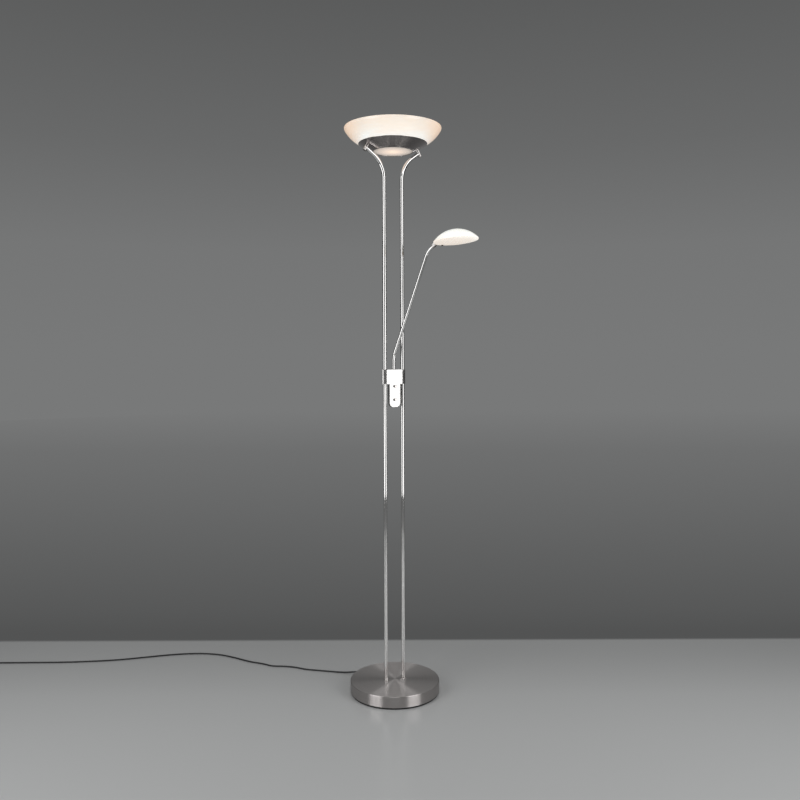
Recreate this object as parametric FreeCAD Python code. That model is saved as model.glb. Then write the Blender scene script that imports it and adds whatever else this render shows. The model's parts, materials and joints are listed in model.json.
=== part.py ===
"""Torchiere floor lamp with a reading light: two stems on a weighted round base carry an opal
glass uplight bowl. A dimmer housing clamped half-way up the stems carries a swivelling bent arm
with a tilting glass reading head. Millimetres, +Z up. The origin is the centre of the base's
underside, the stems stand on the X axis, and the lamp's front, with its two knobs, faces -Y."""
import FreeCAD, Part
import math
import os

from FreeCAD import Vector

# ---------------------------------------------------------------- driving dimensions
total_height = 1800.0
fit_clearance = 0.05  # between a pin, tube or shaft and its bore
loose_clearance = 0.3  # between faces that must not touch
seat_gap = 0.02  # between two pieces that rest on each other

base_radius = 144.0
base_top_z = 42.0
cover_wall = 1.5
cover_edge_radius = 3.0
cover_lift = 6.5  # the cover's lower edge above the floor
pad_inset = 3.0  # the rubber pad's edge inside the cover's wall
pad_thickness = 5.0
bottom_plate_thickness = 1.5
weight_thickness = 11.0
weight_side_gap = 1.5
cable_hole_radius = 20.0
post_inset = 22.0  # from the weight's edge to the posts' circle
post_radius = 5.0
plate_screw_radius = 1.9
plate_screw_length = 14.0
plate_screw_head_radius = 3.6
plate_screw_head_height = 0.9
terminal_width = 32.0
terminal_depth = 18.0
terminal_height = 14.0
terminal_y = 44.0
terminal_pitch = 9.0
terminal_hole_radius = 2.2
terminal_hole_depth = 9.0

stem_spacing = 63.0
stem_radius = 6.0
stem_wall = 1.2
stem_bend_radius = 88.0
stem_end_angle = 54.0
foot_collar_radius = 8.0
foot_collar_height = 2.2
wire_bore_radius = 2.6
foot_stud_length = 50.0
foot_nut_across = 13.0
foot_nut_height = 6.0
coupler_length = 60.0
lead_radius = 1.6

housing_bottom_z = 1001.0
housing_body_height = 34.5
housing_cap_height = 11.5
housing_half_depth = 9.2
housing_flat_half = 24.5  # half the flat front's width
housing_corner_radius = 21.0
housing_corner_turn = 47.0  # then a tighter arc closes each end
housing_floor = 2.5
housing_web = 4.5  # between a stem and the housing's cavity
housing_cavity_depth = 15.0
spigot_clearance = 0.2
wire_slot_width = 16.0
wire_slot_y = 4.0  # the slot through the housing's floor starts here
cap_bead_height = 1.2
cap_bead_stand = 0.4  # the bead round the cap's foot stands this far out
cap_bead_chamfer = 0.25
cap_spigot = 3.0
clamp_screw_radius = 2.0
clamp_screw_rise = 12.0
clamp_socket_radius = 1.0
clamp_socket_depth = 1.2
clamp_screw_inset = 1.2  # from the housing's back
cap_chamfer = 0.6

cover_width = 38.0  # the dimmer cover that hangs below the housing
cover_depth = 12.0
cover_length = 74.0
cover_corner_radius = 14.0
cover_skin = 1.5
cover_edge_radius_front = 0.8
back_plate_thickness = 1.2
knob_radius = 4.4
knob_length = 6.4
knob_shaft_radius = 2.0
knob_upper_drop = 7.5  # below the housing's underside
knob_spacing = 42.5
knob_edge_radius = 0.7
knob_mark_width = 0.8
knob_mark_depth = 0.5
pot_radius = 6.5
pot_thickness = 3.5
board_thickness = 1.6
dimmer_board_width = 26.0
back_screw_radius = 1.2
back_screw_head_radius = 2.2
back_screw_head_height = 1.0
back_screw_inset = 14.0

arm_radius = 5.0
arm_wall = 1.0
arm_azimuth = 62.0  # from +X towards the front
arm_first_corner_rise = 42.0  # above the housing's top
arm_first_bend_radius = 100.0
arm_lean = 21.8
arm_straight_length = 347.2  # between the two corners
arm_second_bend_radius = 60.0
arm_end_angle = 56.0
arm_tail_length = 24.5  # from the second corner to the arm's end
bush_wall = 2.0
bush_flange = 1.0
arm_foot_radius = 6.4
arm_foot_height = 7.0
arm_foot_floor = 2.0
washer_thickness = 1.2

fork_radius = 6.0
fork_reach = 6.4  # from the arm's end to the hinge pin
fork_cheek = 2.6
fork_wall = 1.2  # between the tube's end and the slot
ferrule_length = 5.6
knuckle_radius = 4.6
knuckle_width = 5.6
hinge_pin_radius = 2.5
hinge_pin_head = 0.6

reading_radius = 68.0
reading_dome_height = 32.0
reading_glass = 3.0
reading_tilt = 5.8
reading_bezel_height = 3.0
reading_bezel_width = 2.5
reading_bezel_notch = 1.5  # the strap's way in, below the bezel's top
reading_dish_bulge = 8.0
reading_dish_wall = 1.5
reading_dish_edge = 1.4
reading_dish_edge_width = 2.5
dish_screw_x = 48.5  # the screw that holds the dish, from the head's centre towards the hinge
dish_screw_radius = 1.5
dish_screw_head_radius = 3.4
dish_screw_head_height = 2.2
dish_boss_radius = 3.2
reading_rim_gap = 5.7  # from the hinge pin's axis to the shade's rim
reading_rim_rise = 1.1  # the rim plane above the hinge pin's axis
reading_sink_radius = 50.0
reading_board_radius = 38.0
reading_board_bore = 12.7
reading_sink_thickness = 3.0
reading_sink_rise = 2.5
bracket_width = 12.0
bracket_thickness = 1.3
bracket_top_gap = 0.15  # under the glass rim
bracket_reach = 31.0
bracket_neck_low = 2.6
bracket_neck_high = 0.4
bracket_neck_gap = 0.5  # from the glass rim to the thicker neck
bracket_screw_radius = 1.25
bracket_screw_head_radius = 2.3
bracket_screw_head_height = 1.3
bracket_post_radius = 2.4
bracket_screw_pitch = 7.2
bracket_screw_inset = 4.2  # from the bracket's tip

ring_upper_radius = 108.0
ring_band = 44.7  # from the ring's upper edge in to its lower one, seen from below
ring_slope = 28.0
ring_wall = 1.2
ring_lip = 1.9
lens_thickness = 3.0
lens_dome = 1.6
lens_side_gap = 0.8
retainer_width = 5.0
retainer_thickness = 1.5
carrier_inset = 14.0  # the carrier's edge inside the barrels' circle
carrier_thickness = 2.0
carrier_hole_radius = 5.0
carrier_hole_circle = 52.0

bowl_ring_gap = 1.7  # between the ring's upper edge and the glass above it
bowl_hole_radius = 43.0
bowl_glass = 4.0
bowl_lower_bend_radius = 40.5
bowl_lower_slope = 28.0
bowl_side_bend_radius = 110.5
bowl_side_slope = 58.0
bowl_rim_bend_radius = 14.0
bowl_rim_slope = 88.0
gasket_inset = 8.0  # from the carrier's edge
gasket_width = 6.0
sink_radius = 40.0
led_cover_radius = 52.0
led_cover_height = 18.0
led_cover_wall = 2.0
sink_rise = 1.5  # the heat sink's top above the glass floor
sink_fin_gap = 1.8
sink_fin_pitch = 3.6
sink_fin_depth = 5.0
sink_bore_radius = 5.0
glow_board_outer_radius = 34.0
glow_board_inner_radius = 14.0

barrel_radius = 6.5
barrel_length = 21.0
barrel_inset = 20.0  # from the ring's upper edge to where the barrel's axis meets its wall
nipple_radius = 4.0
nipple_nut_across = 11.0
nipple_nut_height = 1.6
nipple_depth = 8.0  # into the barrel
nipple_stand = 0.4  # past the nut
barrel_floor = 4.0
barrel_edge_radius = 0.8

cord_radius = 2.5
cord_lift = 0.1  # the cord's underside above the floor
gland_z = 12.5
gland_tail_length = 20.0
outlet_turn = 14.0  # the cable's way out, from straight back towards -X
gland_inner_length = 14.0
gland_neck_wall = 2.5
gland_tip_wall = 1.2
gland_flange_radius = 7.0
gland_flange_width = 2.2
cord_straight_exit = 13.0
coil_half_turn_step = 2.8  # each half turn of the coil is this much narrower or wider
coil_outer_radius = 31.0
coil_layer_gap = 0.6
coil_tail_length = 27.0
plug_length = 38.0
plug_width = 25.0
plug_height = 13.6
plug_corner_radius = 2.5
pin_length = 19.0
pin_radius = 2.0
pin_spacing = 19.0

# The cord's free run, chosen by hand: it drops to the floor behind the base and runs off to the left.
cord_drop_points = [
    (-57.0, 194.0, 6.5),
    (-86.0, 213.0, 3.2),
]
cord_floor_points = [
    (-121.0, 244.0),
    (-160.0, 277.0),
    (-194.0, 306.0),
    (-216.0, 340.0),
    (-250.0, 368.0),
    (-284.0, 386.0),
    (-304.0, 424.0),
    (-338.0, 460.0),
    (-372.0, 522.0),
    (-414.0, 584.0),
    (-478.0, 632.0),
    (-560.0, 664.0),
    (-650.0, 684.0),
    (-745.0, 704.0),
    (-838.0, 738.0),
    (-930.0, 778.0),
    (-1022.0, 826.0),
    (-1112.0, 872.0),
    (-1172.0, 904.0),
]

# ---------------------------------------------------------------- sizes that follow
up = Vector(0, 0, 1)
stem_x = stem_spacing / 2
stem_inner_radius = stem_radius - stem_wall
housing_split_z = housing_bottom_z + housing_body_height
housing_top_z = housing_split_z + housing_cap_height
housing_middle_z = (housing_bottom_z + housing_top_z) / 2
housing_front_y = -housing_half_depth
cover_bottom_z = housing_bottom_z - cover_length
cover_back_y = housing_front_y + cover_depth
reading_sphere = (reading_radius ** 2 + reading_dome_height ** 2) / (2 * reading_dome_height)
cover_top_under_z = base_top_z - cover_wall
weight_top_z = cover_top_under_z - seat_gap
weight_bottom_z = weight_top_z - weight_thickness
weight_radius = base_radius - cover_wall - weight_side_gap
stud_radius = stem_inner_radius - fit_clearance
bottom_plate_z = pad_thickness + seat_gap
bottom_plate_top_z = bottom_plate_z + bottom_plate_thickness
bottom_plate_radius = base_radius - cover_wall - loose_clearance
pad_radius = base_radius - pad_inset
knob_heights = [housing_bottom_z - knob_upper_drop, housing_bottom_z - knob_upper_drop - knob_spacing]
ring_tangent = math.tan(math.radians(ring_slope))
ring_wall_rise = ring_wall / math.cos(math.radians(ring_slope))
arm_first_corner_z = housing_top_z + arm_first_corner_rise
ring_lower_radius = ring_upper_radius - ring_band
barrel_contact_radius = ring_upper_radius - barrel_inset
carrier_radius = barrel_contact_radius - carrier_inset
gasket_radius = carrier_radius - gasket_inset
cavity_half_width = stem_x - stem_radius - housing_web


# ---------------------------------------------------------------- helpers
def cylinder(radius, start, end):
    """A rod of the given radius between two points."""
    axis = end - start
    return Part.makeCylinder(radius, axis.Length, start, axis)


def sleeve(outer_radius, inner_radius, start, end):
    """A round tube between two points."""
    return cylinder(outer_radius, start, end).cut(cylinder(inner_radius, start, end))


def disc(radius, z_low, z_high, x=0.0, y=0.0):
    return cylinder(radius, Vector(x, y, z_low), Vector(x, y, z_high))


def annulus(outer_radius, inner_radius, z_low, z_high, x=0.0, y=0.0):
    return disc(outer_radius, z_low, z_high, x, y).cut(disc(inner_radius, z_low, z_high, x, y))


def block(x_low, x_high, y_low, y_high, z_low, z_high):
    corner = Vector(x_low, y_low, z_low)
    return Part.makeBox(x_high - x_low, y_high - y_low, z_high - z_low, corner)


def hex_nut(across_flats, bore_radius, base, axis, height):
    """A hexagonal nut with its bore, standing on base along axis."""
    side_vector = axis.cross(Vector(0, 1, 0) if abs(axis.y) < 0.9 else Vector(1, 0, 0)).normalize()
    other_vector = axis.cross(side_vector).normalize()
    corner_radius = across_flats / math.sqrt(3)
    corners = []
    for k in range(7):
        turn = math.radians(60 * k)
        corners.append(base + side_vector * (corner_radius * math.cos(turn))
                       + other_vector * (corner_radius * math.sin(turn)))
    nut = Part.Face(Part.makePolygon(corners)).extrude(axis * height)
    return nut.cut(cylinder(bore_radius, base - axis, base + axis * (height + 1)))


def turned(start, steps):
    """A solid turned about Z. Each step from start is a point (r, z), or an arc's middle and end."""
    edges = []
    here = Vector(start[0], 0, start[1])
    first = here
    for step in steps:
        if isinstance(step[0], tuple):
            middle = Vector(step[0][0], 0, step[0][1])
            there = Vector(step[1][0], 0, step[1][1])
            edges.append(Part.Arc(here, middle, there).toShape())
        else:
            there = Vector(step[0], 0, step[1])
            edges.append(Part.LineSegment(here, there).toShape())
        here = there
    if (here - first).Length > 1e-6:
        edges.append(Part.LineSegment(here, first).toShape())
    face = Part.Face(Part.Wire(edges))
    return face.revolve(Vector(0, 0, 0), up, 360)


def slope_arc(r, z, slope_from, slope_to, radius):
    """The middle and end of an arc in the (r, z) plane whose slope grows from one angle to another."""
    def at(slope):
        rise = math.cos(math.radians(slope_from)) - math.cos(math.radians(slope))
        run = math.sin(math.radians(slope)) - math.sin(math.radians(slope_from))
        return (r + radius * run, z + radius * rise)
    return at((slope_from + slope_to) / 2), at(slope_to)


def cap_arc(r_from, z_from, r_to, z_to, sagitta):
    """The middle and end of the arc between two (r, z) points that rises by sagitta from its chord."""
    run = r_to - r_from
    rise = z_to - z_from
    chord = math.hypot(run, rise)
    middle = ((r_from + r_to) / 2 - sagitta * rise / chord, (z_from + z_to) / 2 + sagitta * run / chord)
    return middle, (r_to, z_to)


def cap_sagitta(cap_radius, cap_height):
    """The sagitta of the meridian arc, from edge to top, of a round cap of this radius and height."""
    sphere = (cap_radius ** 2 + cap_height ** 2) / (2 * cap_height)
    return sphere * (1 - math.cos(math.asin(min(1.0, cap_radius / sphere)) / 2))


def rounded_path(corners, radii):
    """A wire of straight runs through corners, joined by tangent arcs of the given radii."""
    edges = []
    here = corners[0]
    for k in range(1, len(corners) - 1):
        before = (corners[k - 1] - corners[k]).normalize()
        after = (corners[k + 1] - corners[k]).normalize()
        turn = math.pi - before.getAngle(after)
        tangent = radii[k - 1] * math.tan(turn / 2)
        arc_start = corners[k] + before * tangent
        arc_end = corners[k] + after * tangent
        to_centre = (before + after).normalize()
        centre = corners[k] + to_centre * (radii[k - 1] / math.cos(turn / 2))
        arc_middle = centre - to_centre * radii[k - 1]
        edges.append(Part.LineSegment(here, arc_start).toShape())
        edges.append(Part.Arc(arc_start, arc_middle, arc_end).toShape())
        here = arc_end
    edges.append(Part.LineSegment(here, corners[-1]).toShape())
    return Part.Wire(edges)


def rod_along(path, start, direction, radius):
    """A solid rod of the given radius swept along a wire."""
    ring = Part.Wire(Part.makeCircle(radius, start, direction))
    return path.makePipeShell([ring], True, False)


def pipe_along(path, start, direction, outer_radius, inner_radius):
    """A tube swept along a wire."""
    outer = rod_along(path, start, direction, outer_radius)
    return outer.cut(rod_along(path, start, direction, inner_radius))


def housing_block(extra, z_low, z_high):
    """An upright block with the housing's outline moved outwards by extra: a flat front and back, wide
    corner arcs and a tighter arc at each end."""
    turn = math.radians(housing_corner_turn)
    corner = housing_corner_radius + extra
    corner_y = housing_corner_radius - housing_half_depth
    end_x = housing_flat_half + corner_y * math.tan(turn) + corner - corner_y / math.cos(turn)

    def on_corner(side, face, angle):
        x = housing_flat_half + corner * math.sin(angle)
        return Vector(side * x, face * (corner * math.cos(angle) - corner_y), z_low)
    edges = []
    for face in (-1, 1):
        edges.append(Part.LineSegment(on_corner(-1, face, 0), on_corner(1, face, 0)).toShape())
        for side in (-1, 1):
            edges.append(Part.Arc(on_corner(side, face, 0), on_corner(side, face, turn / 2),
                                  on_corner(side, face, turn)).toShape())
    for side in (-1, 1):
        edges.append(Part.Arc(on_corner(side, -1, turn), Vector(side * end_x, 0, z_low),
                              on_corner(side, 1, turn)).toShape())
    outline = Part.Wire(Part.__sortEdges__(edges))
    return Part.Face(outline).extrude(Vector(0, 0, z_high - z_low))


def mirrored(shape):
    """The same piece on the other stem."""
    return shape.mirror(Vector(0, 0, 0), Vector(1, 0, 0))


def turned_to_outlet(shape):
    """A piece drawn on the +Y axis, turned to the side where the cable leaves the base."""
    placed = shape.copy()
    placed.rotate(Vector(0, 0, 0), up, outlet_turn)
    return placed


def turned_with_arm(shape):
    """A piece drawn in the XZ plane, turned to the arm's direction."""
    placed = shape.copy()
    placed.rotate(Vector(0, 0, 0), up, -arm_azimuth)
    return placed


pieces = {}
inner_leads = []


# ---------------------------------------------------------------- the bowl's and the ring's levels
bowl_stages = (
    (0.0, bowl_lower_slope, bowl_lower_bend_radius),
    (bowl_lower_slope, bowl_side_slope, bowl_side_bend_radius),
    (bowl_side_slope, bowl_rim_slope, bowl_rim_bend_radius),
)
bowl_flat_radius = ring_upper_radius - bowl_lower_bend_radius * math.sin(math.radians(bowl_lower_slope))
bowl_rim_radius = bowl_flat_radius
bowl_depth = 0.0
for slope_from, slope_to, bend_radius in bowl_stages:
    stage_end = slope_arc(bowl_rim_radius, bowl_depth, slope_from, slope_to, bend_radius)[1]
    bowl_rim_radius, bowl_depth = stage_end
bowl_bottom_z = total_height - bowl_glass / 2 - bowl_depth
bowl_floor_z = bowl_bottom_z + bowl_glass
bowl_lower_rise = bowl_lower_bend_radius * (1 - math.cos(math.radians(bowl_lower_slope)))
ring_upper_z = bowl_bottom_z + bowl_lower_rise - bowl_ring_gap
ring_lower_z = ring_upper_z - (ring_upper_radius - ring_lower_radius) * ring_tangent
carrier_z = ring_lower_z + ring_wall_rise + (carrier_radius - ring_lower_radius) * ring_tangent + seat_gap
carrier_top_z = carrier_z + carrier_thickness


# ---------------------------------------------------------------- base
def make_base():
    top = base_top_z
    inner_radius = base_radius - cover_wall
    edge = cover_edge_radius
    inner_edge = edge - cover_wall
    diagonal = math.sqrt(0.5)
    outer_middle = (base_radius - edge + edge * diagonal, top - edge + edge * diagonal)
    inner_middle = (inner_radius - inner_edge + inner_edge * diagonal,
                    cover_top_under_z - inner_edge + inner_edge * diagonal)
    cover = turned((0, cover_top_under_z), [
        (0, top),
        (base_radius - edge, top),
        (outer_middle, (base_radius, top - edge)),
        (base_radius, cover_lift),
        (inner_radius, cover_lift),
        (inner_radius, cover_top_under_z - inner_edge),
        (inner_middle, (inner_radius - inner_edge, cover_top_under_z)),
    ])
    weight = disc(weight_radius, weight_bottom_z, weight_top_z)
    cable_hole = disc(cable_hole_radius, weight_bottom_z, weight_top_z, 0, cable_hole_radius * 2)
    weight = weight.cut(turned_to_outlet(cable_hole))
    for side in (-1, 1):
        stud_hole = disc(stud_radius + fit_clearance, 0, top + 1, side * stem_x)
        cover = cover.cut(stud_hole)
        weight = weight.cut(stud_hole)
    gland_hole = cylinder(cord_radius + gland_neck_wall + fit_clearance,
                          Vector(0, inner_radius - gland_inner_length, gland_z),
                          Vector(0, base_radius + gland_tail_length, gland_z))
    pieces["base_cover"] = cover.cut(turned_to_outlet(gland_hole))
    pieces["base_weight"] = weight

    pieces["base_pad"] = disc(pad_radius, 0, pad_thickness)
    plate = disc(bottom_plate_radius, bottom_plate_z, bottom_plate_top_z)
    post_circle = weight_radius - post_inset
    head_top_z = bottom_plate_z + plate_screw_head_height
    posts = []
    screws = []
    for angle in (30, 150, 270):
        x = post_circle * math.cos(math.radians(angle))
        y = post_circle * math.sin(math.radians(angle))
        post = annulus(post_radius, plate_screw_radius + fit_clearance, bottom_plate_top_z + seat_gap,
                       weight_bottom_z - seat_gap, x, y)
        posts.append(post)
        shank = disc(plate_screw_radius, bottom_plate_z + 0.5, bottom_plate_z + plate_screw_length, x, y)
        head = disc(plate_screw_head_radius, bottom_plate_z + 0.1, head_top_z, x, y)
        screws.append(shank.fuse(head).removeSplitter())
        plate = plate.cut(disc(plate_screw_radius + fit_clearance, 0, bottom_plate_top_z + 1, x, y))
        plate = plate.cut(disc(plate_screw_head_radius + fit_clearance, 0, head_top_z + seat_gap, x, y))
    pieces["bottom_plate"] = plate
    pieces["plate_posts"] = Part.makeCompound(posts)
    pieces["bottom_plate_screws"] = Part.makeCompound(screws)

    half_width = terminal_width / 2
    block_low_z = bottom_plate_top_z + seat_gap
    connector = block(-half_width, half_width, terminal_y, terminal_y + terminal_depth,
                      block_low_z, block_low_z + terminal_height)
    hole_low_z = block_low_z + terminal_height - terminal_hole_depth
    for place in (-1, 0, 1):
        connector = connector.cut(disc(terminal_hole_radius, hole_low_z, block_low_z + terminal_height + 1,
                                       place * terminal_pitch, terminal_y + terminal_depth / 2))
    pieces["terminal_block"] = turned_to_outlet(connector)


# ---------------------------------------------------------------- cable gland, cord, coil and plug
def make_cord():
    wall_y = base_radius
    neck = cord_radius + gland_neck_wall
    tip = cord_radius + gland_tip_wall
    bore = cord_radius + fit_clearance
    flange_start = loose_clearance
    flange_end = flange_start + gland_flange_width
    gland = turned((bore, -gland_inner_length), [
        (neck, -gland_inner_length),
        (neck, flange_start),
        (gland_flange_radius, flange_start),
        (gland_flange_radius, flange_end),
        (neck, flange_end + 1.5),
        (tip, gland_tail_length),
        (bore, gland_tail_length),
    ])
    gland.rotate(Vector(0, 0, 0), Vector(1, 0, 0), -90)
    gland.translate(Vector(0, wall_y, gland_z))
    pieces["cable_gland"] = turned_to_outlet(gland)
    cord_start_y = wall_y - gland_inner_length
    lead_start_y = terminal_y + terminal_depth + seat_gap
    mains_lead = cylinder(cord_radius, Vector(0, lead_start_y, gland_z),
                          Vector(0, cord_start_y - seat_gap, gland_z))
    inner_leads.append(turned_to_outlet(mains_lead))

    floor_z = cord_radius + cord_lift
    outward = Vector(-math.sin(math.radians(outlet_turn)), math.cos(math.radians(outlet_turn)), 0)
    exit_height = up * gland_z
    points = [outward * cord_start_y + exit_height,
              outward * (wall_y + gland_tail_length + cord_straight_exit) + exit_height]
    points += [Vector(x, y, z) for x, y, z in cord_drop_points]
    points += [Vector(x, y, floor_z) for x, y in cord_floor_points]
    radii = []
    for k in range(1, len(points) - 1):
        before = points[k] - points[k - 1]
        after = points[k + 1] - points[k]
        half_turn = before.getAngle(after) / 2
        shorter = min(before.Length, after.Length)
        radii.append(0.45 * shorter / math.tan(half_turn))
    tightest = min(radii)
    path = rounded_path(points, radii)
    cord = rod_along(path, points[0], points[1] - points[0], cord_radius)
    pieces["power_cord"] = cord
    section = math.pi * cord_radius ** 2
    print("cord length", round(path.Length), "tightest bend", round(tightest, 1),
          "volume ratio", round(cord.Volume / (section * path.Length), 4))

    end = points[-1]
    heading = (points[-1] - points[-2]).normalize()
    make_coil(end, heading)


def coil_arcs(turn_radii, layer_step, climb_index):
    """Half turns in the coil's own frame, from its outer end at the origin heading along +Y.
    One half turn climbs to the upper layer: its two ends differ in height."""
    arcs = []
    x = 0.0
    z = 0.0
    side = -1
    for k, radius in enumerate(turn_radii):
        rise = layer_step if k == climb_index else 0.0
        start = Vector(x, 0, z)
        end = Vector(x + side * 2 * radius, 0, z + rise)
        half_length = (end - start).Length / 2
        middle = (start + end) * 0.5 + Vector(0, -side * half_length, 0)
        arcs.append((start, middle, end))
        x = end.x
        z = end.z
        side = -side
    return arcs


def make_coil(start, heading):
    """The cord's put-away length: a small two-layer coil on the floor, and the plug on its end."""
    step = coil_half_turn_step
    outer = coil_outer_radius
    turn_radii = [outer, outer - step, outer - 2 * step, outer - 3 * step, outer - 2 * step, outer - step]
    layer_step = 2 * cord_radius + coil_layer_gap
    lead_in = 2 * cord_radius
    arcs = coil_arcs(turn_radii, layer_step, 3)
    edges = [Part.LineSegment(Vector(0, -lead_in, 0), arcs[0][0]).toShape()]
    edges += [Part.Arc(a, b, c).toShape() for a, b, c in arcs]
    last = arcs[-1][2]
    tail_end = last + Vector(0, coil_tail_length, 0)
    edges.append(Part.LineSegment(last, tail_end).toShape())
    path = Part.Wire(edges)
    coil = rod_along(path, Vector(0, -lead_in, 0), Vector(0, 1, 0), cord_radius)
    plug = make_plug(tail_end)
    samples = path.discretize(Distance=2.0)
    apart = 8
    least = min((samples[i] - samples[j]).Length
                for i in range(len(samples)) for j in range(i + apart, len(samples)))
    print("coil length", round(path.Length), "least gap", round(least - 2 * cord_radius, 2))
    heading_angle = math.degrees(math.atan2(heading.y, heading.x)) - 90
    for name, shape in (("cord_coil", coil), ("power_plug", plug)):
        placed = shape.copy()
        placed.translate(Vector(0, lead_in, 0))
        placed.rotate(Vector(0, 0, 0), up, heading_angle)
        placed.translate(start)
        pieces[name] = placed


def make_plug(entry):
    """A flat two-pin plug whose cord entry is at the given point and which points along +Y."""
    half_width = plug_width / 2
    half_height = plug_height / 2
    neck_width = 2 * cord_radius
    outline = [
        Vector(entry.x - neck_width, entry.y, 0),
        Vector(entry.x - half_width, entry.y + plug_length * 0.5, 0),
        Vector(entry.x - half_width, entry.y + plug_length, 0),
        Vector(entry.x + half_width, entry.y + plug_length, 0),
        Vector(entry.x + half_width, entry.y + plug_length * 0.5, 0),
        Vector(entry.x + neck_width, entry.y, 0),
    ]
    outline.append(outline[0])
    body = Part.Face(Part.makePolygon(outline)).extrude(Vector(0, 0, plug_height))
    body.translate(Vector(0, 0, entry.z - half_height))
    upright = [edge for edge in body.Edges if abs(edge.tangentAt(edge.FirstParameter).z) > 0.9]
    body = body.makeFillet(plug_corner_radius, upright)
    for side in (-1, 1):
        foot = Vector(entry.x + side * pin_spacing / 2, entry.y + plug_length, entry.z)
        body = body.fuse(cylinder(pin_radius, foot - Vector(0, 2, 0), foot + Vector(0, pin_length, 0)))
    return body.removeSplitter()


# ---------------------------------------------------------------- stems
def stem_path(start_z):
    """The right stem's corners from start_z up to the middle of its barrel, in the XZ plane."""
    turn = math.radians(stem_end_angle)
    barrel_top, barrel_axis = barrel_frame()
    end = barrel_top + barrel_axis * (barrel_length / 2)
    corner = Vector(stem_x, 0, end.z - (end.x - stem_x) / math.tan(turn))
    return [Vector(stem_x, 0, start_z), corner, end]


def barrel_frame():
    """The right barrel's top centre on the ring's outer wall, and its axis, which points down."""
    slope = math.radians(ring_slope)
    top = Vector(barrel_contact_radius, 0,
                 ring_lower_z + (barrel_contact_radius - ring_lower_radius) * ring_tangent)
    return top, Vector(math.sin(slope), 0, -math.cos(slope))


def make_stems():
    barrel_top, barrel_axis = barrel_frame()
    barrel_start = barrel_top + barrel_axis * seat_gap
    barrel_end = barrel_top + barrel_axis * barrel_length
    barrel_core = cylinder(barrel_radius, barrel_start, barrel_end)
    corners = stem_path(housing_middle_z + seat_gap)
    path = rounded_path(corners, [stem_bend_radius])
    upper = pipe_along(path, corners[0], up, stem_radius, stem_inner_radius)
    barrel_line = cylinder(barrel_radius, barrel_top - barrel_axis * barrel_length,
                           barrel_end + barrel_axis * barrel_length)
    upper = upper.cut(barrel_line)
    lead = rod_along(path, corners[0], up, lead_radius).cut(barrel_line)
    inner_leads.append(lead)

    lower = annulus(stem_radius, stem_inner_radius, base_top_z + seat_gap, housing_middle_z, stem_x)
    pieces["stem_lower_right"] = lower
    pieces["stem_lower_left"] = mirrored(lower)
    pieces["stem_upper_right"] = upper
    pieces["stem_upper_left"] = mirrored(upper)

    coupler = annulus(stem_inner_radius - fit_clearance, wire_bore_radius,
                      housing_middle_z - coupler_length / 2, housing_middle_z + coupler_length / 2, stem_x)
    pieces["stem_couplers"] = Part.makeCompound([coupler, mirrored(coupler)])

    stud_low_z = weight_bottom_z - foot_nut_height - 1.5
    stud = annulus(stud_radius, wire_bore_radius, stud_low_z, stud_low_z + foot_stud_length, stem_x)
    pieces["foot_studs"] = Part.makeCompound([stud, mirrored(stud)])
    nut = hex_nut(foot_nut_across, stud_radius + fit_clearance,
                  Vector(stem_x, 0, weight_bottom_z - seat_gap - foot_nut_height), up, foot_nut_height)
    pieces["foot_nuts"] = Part.makeCompound([nut, mirrored(nut)])
    collar = annulus(foot_collar_radius, stem_radius + fit_clearance, base_top_z + seat_gap,
                     base_top_z + foot_collar_height, stem_x)
    collar = collar.makeChamfer(0.5, [max(collar.Edges, key=lambda e: e.BoundBox.ZMax * 100 + e.Length)])
    pieces["foot_collars"] = Part.makeCompound([collar, mirrored(collar)])
    inner_leads.append(disc(lead_radius, stud_low_z, housing_middle_z - seat_gap, -stem_x))

    bore_end = barrel_top + barrel_axis * (barrel_length - barrel_floor)
    tube_direction = (corners[2] - corners[1]).normalize()
    side_hole = cylinder(wire_bore_radius, corners[2] - tube_direction * (2 * barrel_radius), corners[2])
    barrel = barrel_core.cut(cylinder(nipple_radius + fit_clearance, barrel_start, bore_end))
    barrel = barrel.cut(side_hole)
    rim_edges = [edge for edge in barrel.Edges
                 if abs(edge.Length - 2 * math.pi * barrel_radius) < 0.01
                 and (edge.CenterOfMass - barrel_end).Length < 0.1]
    barrel = barrel.makeFillet(barrel_edge_radius, rim_edges)
    pieces["barrel_right"] = barrel
    pieces["barrel_left"] = mirrored(barrel)

    inner_wall = barrel_top - barrel_axis * ring_wall
    nut_start = inner_wall - barrel_axis * loose_clearance
    nipple_top = nut_start - barrel_axis * (nipple_nut_height + nipple_stand)
    nipple = sleeve(nipple_radius, lead_radius, nipple_top, barrel_top + barrel_axis * nipple_depth)
    pieces["barrel_nipples"] = Part.makeCompound([nipple, mirrored(nipple)])
    nut = hex_nut(nipple_nut_across, nipple_radius + fit_clearance, nut_start, barrel_axis * -1,
                  nipple_nut_height)
    pieces["nipple_nuts"] = Part.makeCompound([nut, mirrored(nut)])


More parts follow.
